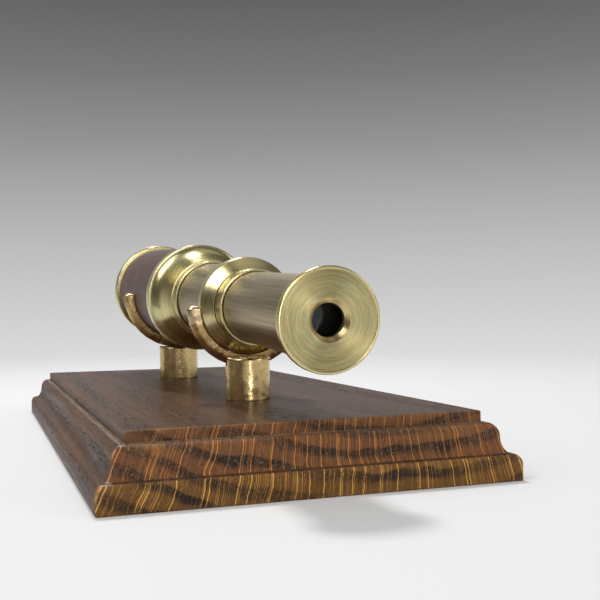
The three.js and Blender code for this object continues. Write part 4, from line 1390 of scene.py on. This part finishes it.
class SPECTROSCOPE_OT_posts(bpy.types.Operator):
    """Makes the two hammered posts, notched for their cradles and tapped for their screws"""

    bl_idname = "spectroscope.posts"
    bl_label = "Posts"

    def execute(self, context):
        for node, cradle, dent in (
            ("front_post", "front_cradle", sizes().dent_depth),
            ("rear_post", "rear_cradle", sizes().dent_depth * 0.35),
        ):
            mesh = self.post(node, cradle, dent)
            place = upright_place(*post_centre(node))
            shown(mesh, "hammered_" + node, "stand", [node], [post_brass()], place)
        return {"FINISHED"}

    def post(self, node, cradle_node, dent):
        place = upright_place(*post_centre(node))
        low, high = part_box(node)
        radius = (high.x - low.x) / 2
        screw_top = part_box(node + "_screw")[1].z + SEAT_GAP

        def relief(angle, at_radius, station):
            if at_radius < radius * 0.7:
                return 0
            point = Vector((math.cos(angle) * radius, station, math.sin(angle) * radius))
            wave = 0.5 + 0.5 * noise.noise(point * 350)
            return dent * (dents(point, 2.1 * MM) + 0.6 * wave) * min(1, (station - low.z) / (0.6 * MM))

        outline = eased([
            (0, screw_top),
            (POST_BORE, screw_top),
            (POST_BORE, low.z),
            (radius, low.z, 0.12 * MM),
            (radius, high.z, 0.45 * MM),
            (0, high.z),
        ], closed=False, longest=0.35 * MM)
        mesh = turned(node, outline, 176, relief)
        cradle = span(cradle_node)
        outer = cradle.outer + SEAT_GAP
        seat = turned("seat", disc_outline(outer, cradle.front - SEAT_GAP, cradle.back + SEAT_GAP, 0), 256)
        return cut_away(mesh, [seat], place, INSTRUMENT)


class SPECTROSCOPE_OT_brazing(bpy.types.Operator):
    """Runs lumps of brazing metal between each cradle and the top of its post"""

    bl_idname = "spectroscope.brazing"
    bl_label = "Brazing"

    def execute(self, context):
        dice = random.Random(11)
        self.bead(dice, "front_post", "front_cradle", 1.0)
        self.bead(dice, "rear_post", "rear_cradle", 0.45)
        return {"FINISHED"}

    def bead(self, dice, post, cradle_node, ragged):
        low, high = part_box(post)
        x, y = post_centre(post)
        radius = (high.x - low.x) / 2
        cradle = span(cradle_node)
        half = (cradle.back - cradle.front) / 2
        bar_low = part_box(cradle_node)[0].z
        middle = Vector((x, y, 0))
        lumps = []
        for side in (-1, 1):
            reach = math.sqrt(radius ** 2 - half ** 2) - 0.5 * MM
            count = 22
            for index in range(count):
                across = reach * (2 * index / (count - 1) - 1)
                out = half + (0.15 + 0.3 * dice.random()) * MM
                rest = max(high.z, bar_low) - 0.15 * MM + 0.2 * MM * dice.random() * ragged
                size = (0.3 + 0.35 * dice.random() * ragged) * MM
                lumps.append((middle + Vector((across, side * out, rest)), size))
        for index in range(round(9 * ragged)):
            angle = math.radians(200 + 140 * index / 8 + 12 * dice.random())
            reach = radius - 0.55 * MM
            size = (0.35 + 0.4 * dice.random()) * MM * ragged
            spot = Vector((reach * math.cos(angle), reach * math.sin(angle), high.z - 0.15 * MM))
            lumps.append((middle + spot, size))
        bm = bmesh.new()
        for spot, size in lumps:
            squash = Matrix.Diagonal((1.3, 1.0, 0.8, 1.0))
            bmesh.ops.create_icosphere(
                bm, subdivisions=3, radius=size, matrix=Matrix.Translation(spot) @ squash
            )
        holder = scratch_object(mesh_from("brazing", bm), Matrix.Identity(4))
        skin = holder.modifiers.new("One skin", "REMESH")
        skin.mode = "VOXEL"
        skin.voxel_size = 0.1 * MM
        relax = holder.modifiers.new("Frozen", "SMOOTH")
        relax.iterations = 3
        mesh = applied(holder, "brazing")
        mesh.materials.clear()
        mesh.shade_smooth()
        name = "brazing_" + post
        piece = shown(mesh, name, "stand", (), [brazing()], Matrix.Identity(4))
        piece.modifiers.remove(piece.modifiers["Even shading"])


class SPECTROSCOPE_OT_post_fixings(bpy.types.Operator):
    """Makes the screw and the washer that hold each post from under the plinth"""

    bl_idname = "spectroscope.post_fixings"
    bl_label = "Post screws and washers"

    def execute(self, context):
        for index, post in enumerate(("front_post", "rear_post")):
            place = upright_place(*post_centre(post), -math.pi / 2) @ Matrix.Rotation(0.5 + index, 4, "Y")
            node = post + "_screw"
            mesh = slotted_screw(node, place, POST_SCREW)
            shown(mesh, "slotted_" + node, "stand", [node], [steel()], place)
            node = post + "_washer"
            outline = tube_outline(measured(node, place), 0.12 * MM, 0.8 * MM)
            mesh = turned(node, outline, 96)
            shown(mesh, "turned_" + node, "stand", [node], [steel()], place)
        return {"FINISHED"}


class SPECTROSCOPE_OT_plinth(bpy.types.Operator):
    """Works the moulded oak plinth, with eased arrises and counterbored screw holes"""

    bl_idname = "spectroscope.plinth"
    bl_label = "Plinth"

    def execute(self, context):
        bm = bmesh.new()
        _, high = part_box("plinth")
        profile = self.profile(high.z)
        rings = []
        for inset, height in profile:
            rings.append([self.vertex(bm, point, height) for point in self.around(high, inset)])
        for first, second in zip(rings, rings[1:]):
            bridge(bm, first, second)
        bm.faces.new(rings[0])
        bm.faces.new(rings[-1])
        mesh = cut_away(mesh_from("plinth", bm), self.bores(high.z), Matrix.Identity(4), Matrix.Identity(4))
        shown(mesh, "moulded_oak_plinth", "stand", ["plinth"], [oak()], Matrix.Identity(4))
        return {"FINISHED"}

    def profile(self, top):
        """Outline of the moulding as (inset, height), from the underside to the top."""
        own = sizes()
        half = math.pi / 2
        _, cove_top, ovolo_top = moulding_heights()
        cove_inset = own.shoulder_inset + own.cove_inset
        ovolo_inset = cove_inset + own.ovolo_inset
        riser = ovolo_inset + own.step_inset
        shoulder = quarter(
            (own.shoulder_inset, own.band_height), (own.shoulder_inset, own.shoulder_rise), 2 * half, half
        )
        cove = quarter((own.shoulder_inset, cove_top), (own.cove_inset, own.cove_rise), -half, 0)
        ovolo = quarter((ovolo_inset, cove_top), (own.ovolo_inset, own.ovolo_rise), 2 * half, half)
        corners = [(1.5 * MM, 0), (0, 0, 0.4 * MM), (0, own.band_height)]
        corners += shoulder[:-1] + [(*shoulder[-1], 0)] + cove[:-1] + [(*cove[-1], 0.1 * MM)]
        corners += ovolo[:-1] + [(*ovolo[-1], 0.05 * MM)]
        corners += [(riser, ovolo_top, 0.1 * MM), (riser, top, 0.35 * MM), (riser + 1.2 * MM, top)]
        return eased(corners, closed=False, longest=1.2 * MM)

    def around(self, high, inset):
        """Points round the plinth at that inset, with eased corners."""
        ease = sizes().corner_ease
        side_steps = 60
        corners = []
        for turn, (sx, sy) in enumerate(((1, 1), (-1, 1), (-1, -1), (1, -1))):
            centre = Vector((sx * (high.x - inset - ease), sy * (high.y - inset - ease)))
            start = turn * math.pi / 2
            corners.append(arc_points(centre, ease, start, start + math.pi / 2, 5))
        points = []
        for corner, after in zip(corners, corners[1:] + corners[:1]):
            side = [Vector(lerp(corner[-1], after[0], step / side_steps)) for step in range(1, side_steps)]
            points += corner + side
        return points

    def vertex(self, bm, point, height):
        """A vertex, set in a little unevenly, as hand finishing leaves it."""
        spot = Vector((point.x, point.y, height))
        uneven = 0.07 * MM * (0.5 + 0.5 * noise.noise(spot * 110)) if height > 0 else 0
        inwards = Vector((point.x, point.y, 0)).normalized()
        return bm.verts.new(spot - inwards * uneven)

    def bores(self, top):
        """Counterbores and screw holes, as cutters."""
        cutters = []
        for post in ("front_post", "rear_post"):
            x, y = post_centre(post)
            washer_low, washer_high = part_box(post + "_washer")
            wide = (washer_high.x - washer_low.x) / 2 + SEAT_GAP
            outline = [(0, -MM), (wide, -MM), (wide, washer_high.z), (PLINTH_BORE, washer_high.z)]
            outline += [(PLINTH_BORE, top + MM), (0, top + MM)]
            cutter = turned("bore", outline, 96)
            cutter.transform(upright_place(x, y))
            cutters.append(cutter)
        return cutters


INNER_FINISHES = {
    "eye_window_retainer": "black",
    "prism_cell": "black",
    "collimator_cell": "black",
    "collimator_retainer": "black",
    "middle_baffle": "black",
    # The prisms take the dark glass: painted shade for the darkness inside the tube.
    "prism_crown_1": "shaded_crown",
    "prism_crown_2": "shaded_crown",
    "prism_crown_3": "shaded_crown",
    "collimator_crown_lens": "crown",
    "prism_flint_1": "shaded_flint",
    "prism_flint_2": "shaded_flint",
    "collimator_flint_lens": "flint",
    "prism_packing_lower": "cork",
    "prism_packing_upper": "cork",
    "eye_tube_stop_ring": "brass",
    "middle_tube_stop_ring": "brass",
    "slit_plate": "brass",
    "slit_fixed_jaw": "steel",
    "slit_moving_jaw": "steel",
}


class SPECTROSCOPE_OT_inner_pieces(bpy.types.Operator):
    """Finishes the optical train, the cells, the stop rings and the slit's plate and jaws as they are"""

    bl_idname = "spectroscope.inner_pieces"
    bl_label = "Inner pieces"

    def execute(self, context):
        plain_brass = polished_brass(
            density=4.0, rough=0.26, anisotropy=0.0, contrast=0.2, in_row_frame=True
        )
        made = {
            "black": optical_black(),
            "crown": glass("crown"),
            "flint": glass("flint"),
            "shaded_crown": glass("crown", shaded=True),
            "shaded_flint": glass("flint", shaded=True),
            "cork": cork(),
            "brass": plain_brass,
            "steel": steel(in_row_frame=True),
        }
        for node, finish in INNER_FINISHES.items():
            solid = frame["nodes"][node]
            solid.data.materials.clear()
            solid.data.materials.append(made[finish])
            solid.data.shade_smooth()
            solid.data.set_sharp_from_angle(angle=math.radians(35))
        window = span("eye_window")
        mesh = turned("eye_window", disc_outline(window.outer, window.front, window.back, 0.15 * MM))
        shown(mesh, "ground_eye_window", "eye_draw", ["eye_window"], [glass("window")])
        return {"FINISHED"}


# Lamps as (name, place in metres from the middle of the object, width, height, watts)
LAMPS = (
    ("overhead_softbox", (0.1, 0.1, 0.85), 1.0, 0.8, 0.9),
    ("left_softbox", (-0.66, -0.25, 0.72), 0.7, 0.6, 6.0),
    ("front_strip", (0.0, -0.95, 0.1), 0.17, 0.5, 1.9),
    ("right_lamp", (0.75, -0.6, 0.34), 0.35, 0.35, 1.3),
    ("rear_softbox", (0.15, 1.05, 0.42), 1.0, 0.4, 0.4),
    ("back_lamp", (0.02, 0.42, 0.85), 0.14, 0.14, 6.0),
)

PLAIN_LIGHT = 0.3  # strength of the even light from all round

# Distances from the origin where the floor begins to fade into the backdrop, and where it is gone
FLOOR_FADE = (0.16, 0.5)

# Dark card on the floor and round the left, which polished metal reflects: radius of its near edge,
# radius of its wall, height of its wall, first and last heading
DARK_CARD = (0.13, 1.15, 0.34, math.radians(150), math.radians(238))

# Brightness of the backdrop by the sine of the height looked at
BACKDROP = (
    (-1.0, 0.93), (-0.25, 0.90), (-0.14, 0.84), (-0.06, 0.73), (0.0, 0.62), (0.07, 0.50),
    (0.13, 0.39), (0.18, 0.29), (0.25, 0.19), (0.32, 0.125), (1.0, 0.11),
)  # fmt: skip


class SPECTROSCOPE_OT_stage(bpy.types.Operator):
    """Lays the floor, hangs the lamps and the backdrop, and sets the camera"""

    bl_idname = "spectroscope.stage"
    bl_label = "Stage"

    def execute(self, context):
        scene = context.scene
        scene.view_settings.view_transform = "Standard"
        self.floor(scene)
        self.dark_card(scene)
        self.world(scene)
        self.lamps(scene)
        self.camera(scene)
        return {"FINISHED"}

    def floor(self, scene):
        """A disc that fades into the backdrop."""
        bm = bmesh.new()
        bmesh.ops.create_circle(bm, cap_ends=True, segments=96, radius=4)
        floor = bpy.data.objects.new("floor", mesh_from("floor", bm))
        scene.collection.objects.link(floor)
        material, tree, shader, vector = new_material("floor")
        settle(shader, {"Base Color": (*finishes().floor, 1), "Roughness": 0.9, "Specular IOR Level": 0.2})
        clear = add(tree, "BsdfTransparent").outputs[0]
        fade = remap(tree, size_of(tree, vector), *FLOOR_FADE)
        both = add(tree, "MixShader", {0: fade, 1: shader.outputs[0], 2: clear}).outputs[0]
        tree.links.new(both, tree.nodes["Material Output"].inputs["Surface"])
        floor.data.materials.append(material)

    def dark_card(self, scene):
        """A curved card that only reflections see."""
        near, radius, height, first, last = DARK_CARD
        steps = 48
        bm = bmesh.new()
        rows = []
        for reach, level in ((near, MM), (radius, MM), (radius, height)):
            arc = arc_points(Vector((0, 0)), reach, first, last, steps)
            rows.append([bm.verts.new((point.x, point.y, level)) for point in arc])
        for low, high in zip(rows, rows[1:]):
            for index in range(steps):
                bm.faces.new((low[index], low[index + 1], high[index + 1], high[index]))
        card = bpy.data.objects.new("dark_card", mesh_from("dark_card", bm))
        scene.collection.objects.link(card)
        for ray in ("camera", "diffuse", "shadow", "transmission", "volume_scatter"):
            setattr(card, "visible_" + ray, False)
        material, _, shader, _ = new_material("dark_card")
        settle(shader, {"Base Color": (*finishes().card, 1), "Roughness": 1.0})
        card.data.materials.append(material)

    def world(self, scene):
        """Plain light for the object, with a graded backdrop for camera, glossy and transmission rays."""
        world = bpy.data.worlds.new("studio")
        scene.world = world
        world.use_nodes = True
        tree = world.node_tree
        plain = tree.nodes["Background"]
        plain.inputs["Color"].default_value = (1, 1, 1, 1)
        plain.inputs["Strength"].default_value = PLAIN_LIGHT
        way = add(tree, "TexCoord").outputs["Generated"]
        height = add(tree, "SeparateXYZ", {0: way}).outputs[2]
        share = remap(tree, height, -1.0, 1.0)
        ramp = add(tree, "ValToRGB", {0: share})
        stops = ramp.color_ramp.elements
        while len(stops) < len(BACKDROP):
            stops.new(0.5)
        for stop, (sine, level) in zip(stops, BACKDROP):
            stop.position = (sine + 1) / 2
            stop.color = (level, level, level, 1)
        graded = add(tree, "Background", {"Color": ramp.outputs[0], "Strength": 1.0}).outputs[0]
        rays = add(tree, "LightPath").outputs
        seen = calc(tree, "MAXIMUM", rays["Is Camera Ray"], rays["Is Glossy Ray"])
        seen = calc(tree, "MAXIMUM", seen, rays["Is Transmission Ray"])
        both = add(tree, "MixShader", {0: seen, 1: plain.outputs[0], 2: graded}).outputs[0]
        tree.links.new(both, tree.nodes["World Output"].inputs["Surface"])

    def lamps(self, scene):
        middle = (cad_box[0] + cad_box[1]) / 2
        for name, offset, width, height, watts in LAMPS:
            lamp = bpy.data.lights.new(name, "AREA")
            lamp.shape = "RECTANGLE"
            lamp.size = width
            lamp.size_y = height
            lamp.energy = watts
            holder = bpy.data.objects.new(name, lamp)
            scene.collection.objects.link(holder)
            holder.visible_camera = False
            holder.location = middle + Vector(offset)
            holder.rotation_euler = (-Vector(offset)).to_track_quat("-Z", "Y").to_euler()

    def camera(self, scene):
        view = scene.spectroscope_view
        camera = bpy.data.cameras.new("camera")
        camera.lens = view.lens
        camera.sensor_width = 36
        camera.clip_start = 0.01
        holder = bpy.data.objects.new("camera", camera)
        scene.collection.objects.link(holder)
        heading = Matrix.Rotation(-view.heading, 4, "Z")
        pitch = Matrix.Rotation(math.pi / 2 + view.pitch, 4, "X")
        roll = Matrix.Rotation(view.roll, 4, "Z")
        holder.matrix_world = Matrix.Translation(view.place) @ heading @ pitch @ roll
        scene.camera = holder


OPERATORS = (
    SPECTROSCOPE_OT_plinth,
    SPECTROSCOPE_OT_posts,
    SPECTROSCOPE_OT_post_fixings,
    SPECTROSCOPE_OT_cradles,
    SPECTROSCOPE_OT_brazing,
    SPECTROSCOPE_OT_eye_cap,
    SPECTROSCOPE_OT_draw_tubes,
    SPECTROSCOPE_OT_middle_collar,
    SPECTROSCOPE_OT_barrel_collar,
    SPECTROSCOPE_OT_barrel,
    SPECTROSCOPE_OT_end_ring,
    SPECTROSCOPE_OT_slit_head,
    SPECTROSCOPE_OT_small_screws,
    SPECTROSCOPE_OT_inner_pieces,
    SPECTROSCOPE_OT_stage,
)


class SPECTROSCOPE_PT_sidebar(bpy.types.Panel):
    """Lists the pieces, the sizes and the finishes"""

    bl_idname = "SPECTROSCOPE_PT_sidebar"
    bl_label = "Spectroscope"
    bl_space_type = "VIEW_3D"
    bl_region_type = "UI"
    bl_category = "Spectroscope"

    def draw(self, context):
        for operator in OPERATORS:
            self.layout.operator(operator.bl_idname)
        for group in ("spectroscope_sizes", "spectroscope_finishes", "spectroscope_view"):
            owner = getattr(context.scene, group)
            column = self.layout.column()
            for name in owner.__annotations__:
                column.prop(owner, name)


PROPERTY_GROUPS = {
    "spectroscope_sizes": SPECTROSCOPE_PG_sizes,
    "spectroscope_finishes": SPECTROSCOPE_PG_finishes,
    "spectroscope_view": SPECTROSCOPE_PG_view,
}


def register():
    for name, group in PROPERTY_GROUPS.items():
        bpy.utils.register_class(group)
        setattr(bpy.types.Scene, name, PointerProperty(type=group))
    for operator in OPERATORS:
        bpy.utils.register_class(operator)
    bpy.utils.register_class(SPECTROSCOPE_PT_sidebar)


def unregister():
    bpy.utils.unregister_class(SPECTROSCOPE_PT_sidebar)
    for operator in reversed(OPERATORS):
        bpy.utils.unregister_class(operator)
    for name, group in PROPERTY_GROUPS.items():
        delattr(bpy.types.Scene, name)
        bpy.utils.unregister_class(group)


def main():
    register()
    for operator in OPERATORS:
        module, call = operator.bl_idname.split(".")
        getattr(getattr(bpy.ops, module), call)()


if __name__ == "__main__":
    main()
